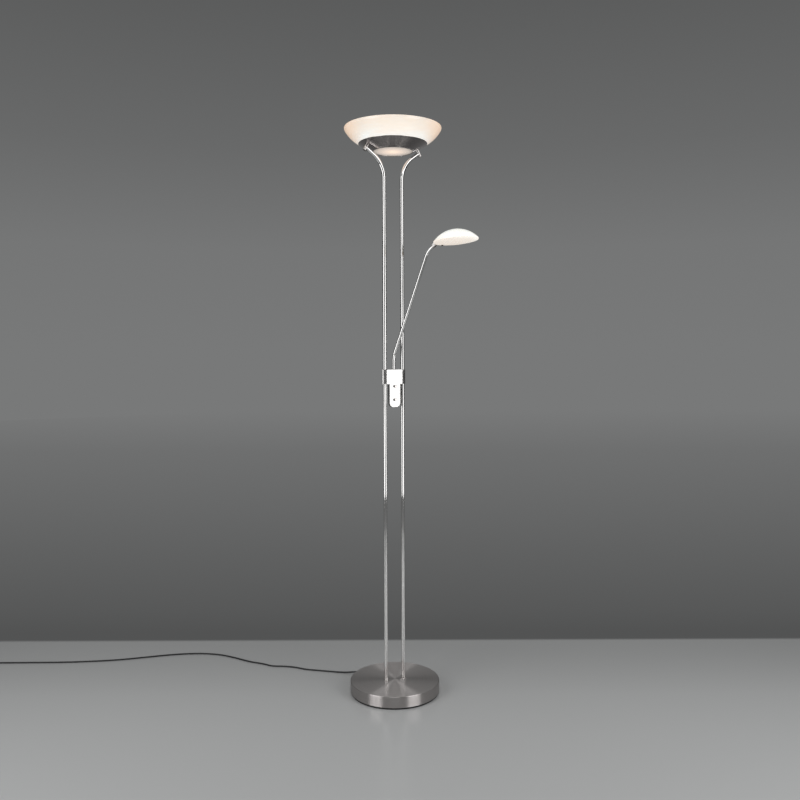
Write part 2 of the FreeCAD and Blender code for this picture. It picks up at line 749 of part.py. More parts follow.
# ---------------------------------------------------------------- uplight head
def make_uplight():
    lip_radius = ring_lower_radius - ring_lip
    inner_foot_z = ring_lower_z + ring_wall
    inner_foot_radius = ring_lower_radius + (ring_wall - ring_wall_rise) / ring_tangent
    ring_edge = ring_wall / 2
    ring = turned((lip_radius, ring_lower_z), [
        (ring_lower_radius, ring_lower_z),
        (ring_upper_radius, ring_upper_z),
        (ring_upper_radius, ring_upper_z + ring_edge),
        (ring_upper_radius - ring_wall, ring_upper_z + ring_wall_rise - ring_wall * ring_tangent),
        (inner_foot_radius, inner_foot_z),
        (lip_radius, inner_foot_z),
    ])
    barrel_top, barrel_axis = barrel_frame()
    hole = cylinder(nipple_radius + fit_clearance, barrel_top - barrel_axis * nipple_depth,
                    barrel_top + barrel_axis * nipple_depth)
    pieces["head_ring"] = ring.cut(hole).cut(mirrored(hole))

    lens_low_z = inner_foot_z + seat_gap
    lens_top_z = lens_low_z + lens_thickness
    lens_radius = ring_lower_radius - lens_side_gap
    opening = lip_radius - loose_clearance
    lens = turned((0, lens_low_z - lens_dome), [
        cap_arc(0, lens_low_z - lens_dome, opening, lens_low_z, -cap_sagitta(opening, lens_dome)),
        (lens_radius, lens_low_z),
        (lens_radius, lens_top_z),
        (0, lens_top_z),
    ])
    pieces["bottom_lens"] = lens
    pieces["lens_retainer"] = annulus(lens_radius, lens_radius - retainer_width, lens_top_z + seat_gap,
                                      lens_top_z + retainer_thickness)

    carrier = disc(carrier_radius, carrier_z, carrier_top_z)
    for angle in (90, 210, 330):
        x = carrier_hole_circle * math.cos(math.radians(angle))
        y = carrier_hole_circle * math.sin(math.radians(angle))
        carrier = carrier.cut(disc(carrier_hole_radius, carrier_z, carrier_top_z, x, y))
    pieces["led_carrier"] = carrier
    pieces["glow_led_board"] = annulus(glow_board_outer_radius, glow_board_inner_radius,
                                       carrier_z - seat_gap - board_thickness, carrier_z - seat_gap)

    outline = []
    inner_arcs = []
    r, z = bowl_flat_radius, bowl_bottom_z
    inner_r, inner_z = bowl_flat_radius, bowl_floor_z
    for slope_from, slope_to, radius in bowl_stages:
        middle, end = slope_arc(r, z, slope_from, slope_to, radius)
        outline.append((middle, end))
        r, z = end
        middle, end = slope_arc(inner_r, inner_z, slope_from, slope_to, radius - bowl_glass)
        inner_arcs.append((middle, (inner_r, inner_z)))
        inner_r, inner_z = end
    rim_turn = math.radians(bowl_rim_slope)
    rim_middle = ((r + inner_r) / 2 + bowl_glass / 2 * math.cos(rim_turn),
                  (z + inner_z) / 2 + bowl_glass / 2 * math.sin(rim_turn))
    outline.insert(0, (bowl_flat_radius, bowl_bottom_z))
    outline.append((rim_middle, (inner_r, inner_z)))
    outline += reversed(inner_arcs)
    outline.append((bowl_hole_radius, bowl_floor_z))
    pieces["glass_bowl"] = turned((bowl_hole_radius, bowl_bottom_z), outline)
    print("bowl rim radius", round(bowl_rim_radius, 1), "bottom", round(bowl_bottom_z, 1),
          "ring", round(ring_lower_z, 1), round(ring_upper_z, 1))

    pieces["bowl_gasket"] = annulus(gasket_radius, gasket_radius - gasket_width,
                                    carrier_top_z + seat_gap, bowl_bottom_z - seat_gap)
    sink_top_z = bowl_floor_z + sink_rise
    sink = disc(sink_radius, carrier_top_z + seat_gap, sink_top_z)
    for k in range(3):
        low = carrier_top_z + sink_fin_gap + sink_fin_pitch * k
        sink = sink.cut(annulus(sink_radius + 1, sink_radius - sink_fin_depth, low, low + sink_fin_gap))
    sink = sink.cut(disc(sink_bore_radius, carrier_top_z - 1, sink_top_z + 1))
    pieces["heat_sink"] = sink
    pieces["uplight_led_board"] = annulus(sink_radius - 3, sink_bore_radius, sink_top_z + seat_gap,
                                          sink_top_z + board_thickness)
    rim_z = bowl_floor_z + seat_gap
    top_z = rim_z + led_cover_height
    inner_height = led_cover_height - led_cover_wall
    inner_radius = led_cover_radius - 2 * led_cover_wall
    pieces["led_cover"] = turned((led_cover_radius, rim_z), [
        cap_arc(led_cover_radius, rim_z, 0, top_z, -cap_sagitta(led_cover_radius, led_cover_height)),
        (0, rim_z + inner_height),
        cap_arc(0, rim_z + inner_height, inner_radius, rim_z, cap_sagitta(inner_radius, inner_height)),
    ])


# ---------------------------------------------------------------- dimmer housing
def make_housing():
    half_cavity_depth = housing_cavity_depth / 2
    body = housing_block(0.0, housing_bottom_z, housing_split_z)
    cap = housing_block(0.0, housing_split_z + seat_gap, housing_top_z)
    bead = housing_block(cap_bead_stand, housing_split_z + seat_gap, housing_split_z + cap_bead_height)
    bead = bead.makeChamfer(cap_bead_chamfer, [edge for edge in bead.Edges if edge.BoundBox.ZLength < 0.01])
    spigot = block(-cavity_half_width + spigot_clearance, cavity_half_width - spigot_clearance,
                   -half_cavity_depth + spigot_clearance, half_cavity_depth - spigot_clearance,
                   housing_split_z - cap_spigot, housing_split_z + 1)
    top_edges = [edge for edge in cap.Edges if edge.BoundBox.ZMin > housing_top_z - 0.01]
    cap = cap.makeChamfer(cap_chamfer, top_edges)
    cap = cap.fuse([bead, spigot])
    body = body.cut(block(-cavity_half_width, cavity_half_width, -half_cavity_depth, half_cavity_depth,
                          housing_bottom_z + housing_floor, housing_split_z + 1))
    body = body.cut(block(-wire_slot_width / 2, wire_slot_width / 2, wire_slot_y, half_cavity_depth,
                          housing_bottom_z - 1, housing_bottom_z + housing_floor + 1))
    body = body.cut(disc(wire_bore_radius, housing_bottom_z - 1, housing_bottom_z + housing_floor + 1))
    bush_radius = arm_radius + bush_wall
    for side in (-1, 1):
        stem_hole = disc(stem_radius + fit_clearance, housing_bottom_z - 1, housing_top_z + 1, side * stem_x)
        body = body.cut(stem_hole)
        cap = cap.cut(stem_hole)
        wire_way = cylinder(wire_bore_radius, Vector(0, 0, housing_middle_z),
                            Vector(side * (stem_x - stem_radius), 0, housing_middle_z))
        body = body.cut(wire_way)
    cap = cap.cut(disc(bush_radius + fit_clearance, housing_split_z - cap_spigot - 1, housing_top_z + 1))
    screws = []
    for side in (-1, 1):
        screw_z = housing_bottom_z + clamp_screw_rise
        start = Vector(side * stem_x, stem_radius + fit_clearance + seat_gap, screw_z)
        end = Vector(side * stem_x, housing_half_depth - clamp_screw_inset, screw_z)
        body = body.cut(cylinder(clamp_screw_radius + fit_clearance, start, end + Vector(0, 5, 0)))
        screw = cylinder(clamp_screw_radius, start, end)
        screws.append(screw.cut(cylinder(clamp_socket_radius, end - Vector(0, clamp_socket_depth, 0), end)))
    pieces["housing_body"] = body.removeSplitter()
    pieces["housing_cap"] = cap.removeSplitter()
    pieces["clamp_screws"] = Part.makeCompound(screws)

    bush_low_z = housing_split_z - cap_spigot - bush_wall
    bush = annulus(bush_radius, arm_radius + fit_clearance, bush_low_z, housing_top_z + bush_flange)
    flange = annulus(bush_radius + 0.8, arm_radius + fit_clearance, housing_top_z + seat_gap,
                     housing_top_z + bush_flange)
    pieces["arm_bush"] = bush.fuse(flange).removeSplitter()

    washer_low_z = housing_bottom_z + housing_floor + seat_gap
    pieces["thrust_washer"] = annulus(arm_foot_radius, wire_bore_radius, washer_low_z,
                                      washer_low_z + washer_thickness)
    return washer_low_z + washer_thickness


def along_y(radius, y_low, y_high, z):
    """A rod on the lamp's front-to-back line at height z."""
    return cylinder(radius, Vector(0, y_low, z), Vector(0, y_high, z))


def bottom_corners(shape, low_z):
    """The front-to-back edges at the two lower corners of a hanging block."""
    return [edge for edge in shape.Edges
            if abs(edge.tangentAt(edge.FirstParameter).y) > 0.9 and edge.BoundBox.ZMax < low_z + 1]


def make_dimmer():
    half_width = cover_width / 2
    top_z = housing_bottom_z - seat_gap
    under_top_z = top_z - cover_skin
    floor_z = cover_bottom_z + cover_skin
    shell = block(-half_width, half_width, housing_front_y, cover_back_y, cover_bottom_z, top_z)
    inside = block(-half_width + cover_skin, half_width - cover_skin, housing_front_y + cover_skin,
                   cover_back_y + 1, floor_z, under_top_z)
    shell = shell.makeFillet(cover_corner_radius, bottom_corners(shell, cover_bottom_z))
    inside = inside.makeFillet(cover_corner_radius - cover_skin, bottom_corners(inside, floor_z))
    front_edges = [edge for edge in shell.Edges
                   if edge.BoundBox.YMax < housing_front_y + 0.01 and edge.BoundBox.ZMin < top_z - 1]
    shell = shell.makeFillet(cover_edge_radius_front, front_edges)
    shell = shell.cut(inside)
    shell = shell.cut(disc(wire_bore_radius, under_top_z - 1, top_z + 1))

    gap = 2 * fit_clearance
    plate_front_y = cover_back_y - back_plate_thickness
    plate = block(-half_width + cover_skin + gap, half_width - cover_skin - gap, plate_front_y,
                  cover_back_y, floor_z + gap, under_top_z - gap)
    plate = plate.makeFillet(cover_corner_radius - cover_skin - gap, bottom_corners(plate, floor_z + gap))

    pot_front_y = housing_front_y + cover_skin + seat_gap
    pot_back_y = pot_front_y + pot_thickness
    board_front_y = pot_back_y + seat_gap
    half_board = dimmer_board_width / 2
    pieces["dimmer_board"] = block(-half_board, half_board, board_front_y, board_front_y + board_thickness,
                                   knob_heights[1] - pot_radius - 2, under_top_z - gap)
    knob_back_y = housing_front_y - loose_clearance
    knob_front_y = knob_back_y - knob_length
    pots = []
    for name, height in zip(("knob_upper", "knob_lower"), knob_heights):
        pot = along_y(pot_radius, pot_front_y, pot_back_y, height)
        pot = pot.cut(block(-half_width, half_width, pot_front_y, pot_back_y,
                            under_top_z - gap, top_z + pot_radius))
        pots.append(pot.cut(along_y(knob_shaft_radius + fit_clearance, pot_front_y, pot_back_y, height)))
        shell = shell.cut(along_y(knob_shaft_radius + loose_clearance, housing_front_y - 1,
                                  housing_front_y + cover_skin + 1, height))
        knob = along_y(knob_radius, knob_front_y, knob_back_y, height)
        front_rim = [edge for edge in knob.Edges if edge.BoundBox.YMax < knob_front_y + 0.01]
        knob = knob.makeFillet(knob_edge_radius, front_rim)
        mark_half = knob_mark_width / 2
        knob = knob.cut(block(-mark_half, mark_half, knob_front_y, knob_front_y + knob_mark_depth,
                              height + knob_radius / 3, height + knob_radius))
        shaft = along_y(knob_shaft_radius, knob_front_y + knob_length / 2, pot_back_y - gap, height)
        pieces[name] = knob.fuse(shaft).removeSplitter()
    plate_screws = []
    for z in (housing_bottom_z - back_screw_inset, cover_bottom_z + back_screw_inset):
        plate = plate.cut(along_y(back_screw_radius + fit_clearance, plate_front_y, cover_back_y, z))
        shank = along_y(back_screw_radius, plate_front_y - 1, cover_back_y + back_screw_head_height, z)
        head = along_y(back_screw_head_radius, cover_back_y + seat_gap,
                       cover_back_y + back_screw_head_height, z)
        plate_screws.append(shank.fuse(head).removeSplitter())
    pieces["dimmer_cover"] = shell
    pieces["dimmer_back_plate"] = plate
    pieces["dimmer_pots"] = Part.makeCompound(pots)
    pieces["back_plate_screws"] = Part.makeCompound(plate_screws)


# ---------------------------------------------------------------- reading arm
def arm_corners(foot_z):
    lean = math.radians(arm_lean)
    end_angle = math.radians(arm_end_angle)
    first = Vector(0, 0, arm_first_corner_z)
    second = first + Vector(math.sin(lean), 0, math.cos(lean)) * arm_straight_length
    end = second + Vector(math.sin(end_angle), 0, math.cos(end_angle)) * arm_tail_length
    return [Vector(0, 0, foot_z), first, second, end]


def make_arm(washer_top_z):
    foot_low_z = washer_top_z + seat_gap
    tube_low_z = foot_low_z + arm_foot_floor
    corners = arm_corners(tube_low_z)
    path = rounded_path(corners, [arm_first_bend_radius, arm_second_bend_radius])
    tube = pipe_along(path, corners[0], up, arm_radius, arm_radius - arm_wall)
    lead = rod_along(path, corners[0], up, lead_radius)
    foot = annulus(arm_foot_radius, wire_bore_radius, foot_low_z, foot_low_z + arm_foot_height)
    foot = foot.cut(disc(arm_radius + seat_gap, tube_low_z - seat_gap, foot_low_z + arm_foot_height + 1))
    pieces["reading_arm"] = turned_with_arm(tube)
    pieces["reading_lead"] = turned_with_arm(lead)
    pieces["arm_foot"] = turned_with_arm(foot.removeSplitter())
    return corners


def make_fork(corners):
    """The fork on the arm's end, whose cheeks hold the head's hinge pin."""
    end = corners[3]
    direction = (corners[3] - corners[2]).normalize()
    pin_centre = end + direction * fork_reach
    sideways = Vector(0, 1, 0)
    half_gap = knuckle_width / 2 + loose_clearance
    half_width = half_gap + fork_cheek
    square = direction.cross(sideways)
    ferrule = cylinder(fork_radius, end - direction * ferrule_length, end + direction * fork_wall)
    cheeks = cylinder(knuckle_radius, pin_centre - sideways * half_width, pin_centre + sideways * half_width)
    low_corner = end - square * knuckle_radius
    high_corner = end + square * knuckle_radius
    web_points = [low_corner, high_corner, high_corner + direction * fork_reach,
                  low_corner + direction * fork_reach, low_corner]
    web = Part.Face(Part.makePolygon([point - sideways * half_width for point in web_points]))
    fork = ferrule.fuse([cheeks, web.extrude(sideways * (2 * half_width))])
    slot_start = pin_centre - direction * (knuckle_radius + 2 * loose_clearance)
    slot_half = 2 * knuckle_radius
    slot_points = [slot_start - square * slot_half, slot_start + square * slot_half,
                   slot_start + square * slot_half + direction * (2 * slot_half),
                   slot_start - square * slot_half + direction * (2 * slot_half),
                   slot_start - square * slot_half]
    slot = Part.Face(Part.makePolygon([point - sideways * half_gap for point in slot_points]))
    fork = fork.cut(slot.extrude(sideways * (2 * half_gap)))
    fork = fork.cut(cylinder(arm_radius + seat_gap, end - direction * (ferrule_length + 1),
                             end + direction * seat_gap))
    fork = fork.cut(cylinder(hinge_pin_radius + fit_clearance, pin_centre - sideways * half_width,
                             pin_centre + sideways * half_width))
    pin = cylinder(hinge_pin_radius, pin_centre - sideways * (half_width + hinge_pin_head),
                   pin_centre + sideways * (half_width + hinge_pin_head))
    pieces["arm_fork"] = turned_with_arm(fork.removeSplitter())
    pieces["hinge_pin"] = turned_with_arm(pin)
    return pin_centre


# ---------------------------------------------------------------- reading head
def make_shade():
    """The glass cap, about Z with the rim plane at z = 0."""
    radius = reading_radius
    inner_height = reading_dome_height - reading_glass
    inner_sphere = reading_sphere - reading_glass
    inner_radius = math.sqrt(inner_sphere ** 2 - (reading_sphere - reading_dome_height) ** 2)
    return turned((radius, 0), [
        cap_arc(radius, 0, 0, reading_dome_height, -cap_sagitta(radius, reading_dome_height)),
        (0, inner_height),
        cap_arc(0, inner_height, inner_radius, 0, cap_sagitta(inner_radius, inner_height)),
    ])


def make_dish(boss_top):
    """The opal dish under the bezel, with a boss near the hinge for the screw that holds it, and the
    level of that screw's seat."""
    low = -reading_bezel_height
    edge_radius = reading_radius - reading_bezel_width - fit_clearance
    edge_top = low + reading_dish_edge
    inner_radius = edge_radius - reading_dish_edge_width
    bottom = low - reading_dish_bulge
    inner_bottom = bottom + reading_dish_wall
    inner_bulge = edge_top - inner_bottom
    dish = turned((0, bottom), [
        cap_arc(0, bottom, edge_radius, low, -cap_sagitta(edge_radius, reading_dish_bulge)),
        (edge_radius, edge_top),
        (inner_radius, edge_top),
        cap_arc(inner_radius, edge_top, 0, inner_bottom, cap_sagitta(inner_radius, inner_bulge)),
    ])
    bottom_sphere = (edge_radius ** 2 + reading_dish_bulge ** 2) / (2 * reading_dish_bulge)

    def skin(r):
        return bottom + bottom_sphere - math.sqrt(bottom_sphere ** 2 - r ** 2)
    boss = disc(dish_boss_radius, skin(dish_screw_x) + reading_dish_wall / 2, boss_top, -dish_screw_x)
    bore = disc(dish_screw_radius + fit_clearance, bottom, boss_top + 1, -dish_screw_x)
    return dish.fuse(boss).cut(bore).removeSplitter(), skin(dish_screw_x - dish_screw_head_radius)


def make_reading_head(pin_centre):
    """Drawn about Z with the rim plane at z = 0 and the hinge on the -X side, then set in place."""
    radius = reading_radius
    bezel = annulus(radius, radius - reading_bezel_width, -reading_bezel_height, -seat_gap)
    sink_low = reading_sink_rise
    sink_top = sink_low + reading_sink_thickness
    sink = disc(reading_sink_radius, sink_low, sink_top)
    down_board = disc(reading_board_radius, sink_low - seat_gap - board_thickness, sink_low - seat_gap)
    up_board = annulus(reading_board_radius, reading_board_bore, sink_top + seat_gap,
                       sink_top + board_thickness)

    pivot = Vector(-(radius + reading_rim_gap), 0, -reading_rim_rise)
    half = knuckle_width / 2
    half_strap = bracket_width / 2
    sideways = Vector(0, 1, 0)
    strap_top = -bracket_top_gap
    strap_low = strap_top - bracket_thickness
    tip_x = -radius + bracket_reach
    neck_end_x = -radius - bracket_neck_gap
    eye = cylinder(knuckle_radius, pivot - sideways * half, pivot + sideways * half)
    strap = block(-radius + 1.0, tip_x, -half_strap, half_strap, strap_low, strap_top)
    thin_neck = block(neck_end_x - 1.0, -radius + 1.5, -half, half, strap_low, strap_top)
    neck = block(pivot.x, neck_end_x, -half, half, -bracket_neck_low, bracket_neck_high)
    bracket = strap.fuse([eye, neck, thin_neck])
    bracket = bracket.cut(cylinder(hinge_pin_radius + fit_clearance, pivot - sideways * half,
                                   pivot + sideways * half))
    notch_half = half_strap + fit_clearance
    bezel = bezel.cut(block(-radius - 1, -radius + 2 * reading_bezel_width, -notch_half, notch_half,
                            -reading_bezel_notch, 1))
    dish, dish_low = make_dish(strap_low - seat_gap)
    head_top = dish_low - seat_gap
    bracket = bracket.cut(disc(dish_screw_radius + fit_clearance, strap_low - 1, strap_top + 1,
                               -dish_screw_x))
    dish_shank = disc(dish_screw_radius, head_top, strap_top - seat_gap, -dish_screw_x)
    dish_head = disc(dish_screw_head_radius, head_top - dish_screw_head_height, head_top, -dish_screw_x)
    screws = []
    screw_x = tip_x - bracket_screw_inset
    screw_top = sink_top - 0.5
    head_low = strap_low - bracket_screw_head_height
    for side in (-1, 1):
        y = side * bracket_screw_pitch / 2
        hole = disc(bracket_screw_radius + fit_clearance, strap_low - 1, screw_top, screw_x, y)
        post = annulus(bracket_post_radius, bracket_screw_radius + fit_clearance,
                       strap_top + seat_gap, sink_low, screw_x, y)
        bracket = bracket.cut(hole)
        sink = sink.fuse(post).cut(hole)
        shank = disc(bracket_screw_radius, head_low, screw_top, screw_x, y)
        head = disc(bracket_screw_head_radius, head_low, strap_low - seat_gap, screw_x, y)
        screws.append(shank.fuse(head).removeSplitter())
    head_pieces = {
        "reading_shade": make_shade(),
        "reading_bezel": bezel,
        "reading_diffuser": dish,
        "dish_screw": dish_shank.fuse(dish_head).removeSplitter(),
        "reading_heat_sink": sink.removeSplitter(),
        "reading_led_boards": Part.makeCompound([down_board, up_board]),
        "reading_bracket": bracket.removeSplitter(),
        "bracket_screws": Part.makeCompound(screws),
    }
    for name, shape in head_pieces.items():
        placed = shape.copy()
        placed.translate(pivot * -1)
        placed.rotate(Vector(0, 0, 0), Vector(0, 1, 0), -reading_tilt)
        placed.translate(pin_centre)
        pieces[name] = turned_with_arm(placed)


make_base()
make_cord()
make_stems()
make_uplight()
washer_top = make_housing()
make_dimmer()
arm_points = make_arm(washer_top)
head_pivot = make_fork(arm_points)
make_reading_head(head_pivot)
pieces["inner_leads"] = Part.makeCompound(inner_leads)

os.makedirs("parts", exist_ok=True)
for node, piece in pieces.items():
    piece.exportStep("parts/" + node + ".step")
turn = math.radians(arm_azimuth)
hinge_x = head_pivot.x * math.cos(turn)
hinge_y = -head_pivot.x * math.sin(turn)
print("nodes", len(pieces), "arm hinge z", round(housing_top_z, 2), "head hinge",
      round(hinge_x, 3), round(hinge_y, 3), round(head_pivot.z, 3))
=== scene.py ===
"""Looks of the torchiere floor lamp with reading light. Metres, +Z up, the origin under the base's
centre. Sizes are written in millimetres and turned into metres where a surface is made."""

import json
import math

import bmesh
import bpy
import numpy as np
from mathutils import Matrix, Vector


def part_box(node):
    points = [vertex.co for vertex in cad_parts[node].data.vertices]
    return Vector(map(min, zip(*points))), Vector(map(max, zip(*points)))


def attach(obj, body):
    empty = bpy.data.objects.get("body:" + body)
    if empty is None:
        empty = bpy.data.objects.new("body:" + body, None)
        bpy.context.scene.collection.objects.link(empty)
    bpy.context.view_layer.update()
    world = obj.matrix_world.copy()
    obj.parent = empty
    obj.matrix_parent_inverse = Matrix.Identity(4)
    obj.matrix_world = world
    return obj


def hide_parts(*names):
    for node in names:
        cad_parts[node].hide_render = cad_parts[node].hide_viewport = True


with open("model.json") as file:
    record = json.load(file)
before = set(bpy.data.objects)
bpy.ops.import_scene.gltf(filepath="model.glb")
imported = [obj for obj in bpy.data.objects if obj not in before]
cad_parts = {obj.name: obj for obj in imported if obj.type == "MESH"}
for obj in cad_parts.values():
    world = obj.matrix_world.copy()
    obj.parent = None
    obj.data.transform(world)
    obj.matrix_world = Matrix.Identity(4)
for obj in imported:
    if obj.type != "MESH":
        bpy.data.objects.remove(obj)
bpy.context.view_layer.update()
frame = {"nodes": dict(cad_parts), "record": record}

MM = 0.001

# ---------------------------------------------------------------- sizes, in millimetres
total_height = 1800.0
touch_gap = 0.02  # between pieces that touch
base_radius, base_top, base_wall, base_edge, base_lift = 144.0, 42.0, 1.5, 3.0, 6.5
base_mid_radius, base_mid_height = 60.0, 24.0  # where the cover's flat and its wall are parted in two
pad_radius, pad_thickness, pad_edge = 141.0, 5.0, 0.8
stem_x, stem_radius, stem_wall = 31.5, 6.0, 1.2
stem_bend, stem_angle, stem_joint = 88.0, 54.0, 1024.0
ring_low_radius, ring_high_radius, ring_slope, ring_wall, ring_lip = 63.3, 108.0, 28.0, 1.2, 1.9
lens_thickness, lens_dome, lens_side_gap, lens_lip_gap = 3.0, 1.6, 0.8, 0.3
bowl_glass, bowl_hole, bowl_ring_gap = 4.0, 43.0, 1.7
bowl_stages = ((0.0, 28.0, 40.5), (28.0, 58.0, 110.5), (58.0, 88.0, 14.0))  # slope from, to, bend radius
barrel_radius, barrel_length, barrel_contact = 6.5, 21.0, 88.0
dome_radius, dome_height, dome_wall = 52.0, 18.0, 2.0
arm_azimuth, arm_lean, arm_end_angle = 62.0, 21.8, 56.0
arm_radius, arm_wall, arm_straight, arm_tail = 5.0, 1.0, 347.2, 24.5
arm_first_bend, arm_second_bend, arm_corner = 100.0, 60.0, 1089.0
head_radius, head_height, head_glass, head_tilt = 68.0, 32.0, 3.0, 5.8
head_gap, head_drop, fork_reach = 5.7, 1.1, 6.4  # the hinge from the rim, and from the arm's end
cord_radius, cord_clearance = 2.5, 0.1

# ---------------------------------------------------------------- camera, in metres and degrees
view_azimuth, view_tilt, view_roll, view_lens = 28.0, 3.593, 0.2, 37.14
eye = (-1.21402, -2.32540, 1.1142)
eye_distance = 2.62  # from the lamp's axis, along the floor


def look_from():
    """The photograph's camera: its place, its aim and a slight roll."""
    azimuth, tilt = math.radians(view_azimuth), math.radians(view_tilt)
    ahead = Vector((math.sin(azimuth) * math.cos(tilt), math.cos(azimuth) * math.cos(tilt), -math.sin(tilt)))
    data = bpy.data.cameras.new("camera")
    data.sensor_width, data.lens = 36.0, view_lens
    data.clip_start, data.clip_end = 0.05, 60.0
    camera = bpy.data.objects.new("camera", data)
    bpy.context.scene.collection.objects.link(camera)
    camera.location = eye
    turn = ahead.to_track_quat("-Z", "Y").to_matrix() @ Matrix.Rotation(-math.radians(view_roll), 3, "Z")
    camera.rotation_euler = turn.to_euler()
    bpy.context.scene.camera = camera


look_from()


# ---------------------------------------------------------------- surfaces
sharp_angle, copy_sharp_angle = 35.0, 30.0  # edges that turn further stay sharp
bend_step, tube_sides = 4.0, 48


def finish_mesh(name, vertices, faces, uv):
    """A mesh object from metres, quads and one UV pair per face corner, closed and facing outwards."""
    mesh = bpy.data.meshes.new(name)
    mesh.from_pydata(vertices.tolist(), [], faces.tolist())
    layer = mesh.uv_layers.new(name="UVMap")
    layer.data.foreach_set("uv", uv.astype(np.float32).ravel())
    shell = bmesh.new()
    shell.from_mesh(mesh)
    bmesh.ops.remove_doubles(shell, verts=shell.verts, dist=1e-6)
    bmesh.ops.recalc_face_normals(shell, faces=shell.faces)
    shell.to_mesh(mesh)
    shell.free()
    mesh.polygons.foreach_set("use_smooth", [True] * len(mesh.polygons))
    mesh.set_sharp_from_angle(angle=math.radians(sharp_angle))
    piece = bpy.data.objects.new(name, mesh)
    bpy.context.scene.collection.objects.link(piece)
    return piece


def grid_surface(name, points, uv_size):
    """points[i, j] in millimetres, where both i and j go round and close. UV u is j's share of its way
    round times uv_size[0], v is i's share of its own times uv_size[1]."""
    rows, around = points.shape[:2]
    vertices = points.reshape(-1, 3) * MM
    i, j = np.meshgrid(np.arange(rows), np.arange(around), indexing="ij")
    i, j = i.ravel(), j.ravel()
    i_next, j_next = (i + 1) % rows, (j + 1) % around
    faces = np.stack([i * around + j, i * around + j_next, i_next * around + j_next, i_next * around + j], 1)
    u0, u1 = j / around * uv_size[0], (j + 1) / around * uv_size[0]
    v0, v1 = i / rows * uv_size[1], (i + 1) / rows * uv_size[1]
    uv = np.stack([u0, v0, u1, v0, u1, v1, u0, v1], 1).reshape(-1, 2)
    return finish_mesh(name, vertices, faces, uv)


def turned(name, profile, around, place=None):
    """A closed profile of (r, z) turned once about Z: x = r cos t, y = r sin t, z = z. place maps the
    points, in millimetres, to where the piece sits."""
    profile = np.array(profile, float)
    t = np.arange(around) * (2 * math.pi / around)
    r, z = profile[:, 0:1], profile[:, 1:2]
    points = np.stack([r * np.cos(t), r * np.sin(t), z + 0 * t], 2)
    if place is not None:
        points = place(points)
    length = np.linalg.norm(np.diff(profile, axis=0), axis=1).sum()
    return grid_surface(name, points, (2 * math.pi * np.abs(profile[:, 0]).max() * MM, length * MM))


def arc(centre_r, centre_z, radius, start, end, count):
    """Points of an arc in the (r, z) plane: the centre plus radius times the cosine and the sine of an
    angle that runs from start to end, in degrees from +r towards +z."""
    a = np.radians(np.linspace(start, end, count))
    return list(zip(centre_r + radius * np.cos(a), centre_z + radius * np.sin(a)))


def slope_run(r, z, start, end, radius, count):
    """Points of an arc from (r, z) whose slope grows from start to end degrees, and its end point: r
    grows with the sine of the slope, z with what its cosine loses."""
    s = np.radians(np.linspace(start, end, count))
    rs = r + radius * (np.sin(s) - np.sin(s[0]))
    zs = z + radius * (np.cos(s[0]) - np.cos(s))
    return list(zip(rs, zs)), (rs[-1], zs[-1])


def cap_run(radius, z_edge, height, count):
    """Points of a round cap's meridian, from its edge to its top on the axis. The sphere's radius is
    (radius squared plus height squared) over twice the height."""
    sphere = (radius ** 2 + height ** 2) / (2 * height)
    a = np.linspace(math.asin(min(1.0, radius / sphere)), 0.0, count)
    return list(zip(sphere * np.sin(a), z_edge + height - sphere * (1 - np.cos(a))))


def rounded_line(corners, radii):
    """Points and directions along straight runs joined by tangent arcs: each arc starts radius times the
    tangent of half its turn before the corner."""
    corners = [np.array(c, float) for c in corners]
    first_way = corners[1] - corners[0]
    points, ways = [corners[0][None]], [first_way[None] / np.linalg.norm(first_way)]
    for k, radius in enumerate(radii, 1):
        before = corners[k] - corners[k - 1]
        after = corners[k + 1] - corners[k]
        before, after = before / np.linalg.norm(before), after / np.linalg.norm(after)
        turn = math.acos(float(np.clip(before @ after, -1, 1)))
        start = corners[k] - before * radius * math.tan(turn / 2)
        inward = after - before * (before @ after)
        inward = inward / np.linalg.norm(inward)
        b = np.linspace(0.0, turn, max(6, int(radius * turn / bend_step)))[:, None]
        points.append(start + before * radius * np.sin(b) + inward * radius * (1 - np.cos(b)))
        ways.append(before * np.cos(b) + inward * np.sin(b))
    points.append(corners[-1][None])
    ways.append(ways[-1][-1:])
    return np.concatenate(points), np.concatenate(ways)


def pipe(name, corners, radii, side, outer, wall, ends=None):
    """A tube along the rounded line: a ring of radius outer carried out along it and, less the wall,
    back inside. side is a direction square to the line's plane, and ends maps the finished points."""
    points, ways = rounded_line(corners, radii)
    side = np.array(side, float)
    across = np.cross(ways, side)
    t = np.arange(tube_sides) * (2 * math.pi / tube_sides)
    spokes = across[:, None, :] * np.cos(t)[None, :, None] + side[None, None, :] * np.sin(t)[None, :, None]
    walls = [points[:, None, :] + spokes * outer, points[::-1, None, :] + spokes[::-1] * (outer - wall)]
    shape = np.concatenate(walls)
    if ends is not None:
        shape = ends(shape)
    run = np.linalg.norm(np.diff(points, axis=0), axis=1).sum()
    return grid_surface(name, shape, (2 * math.pi * outer * MM, 2 * run * MM))


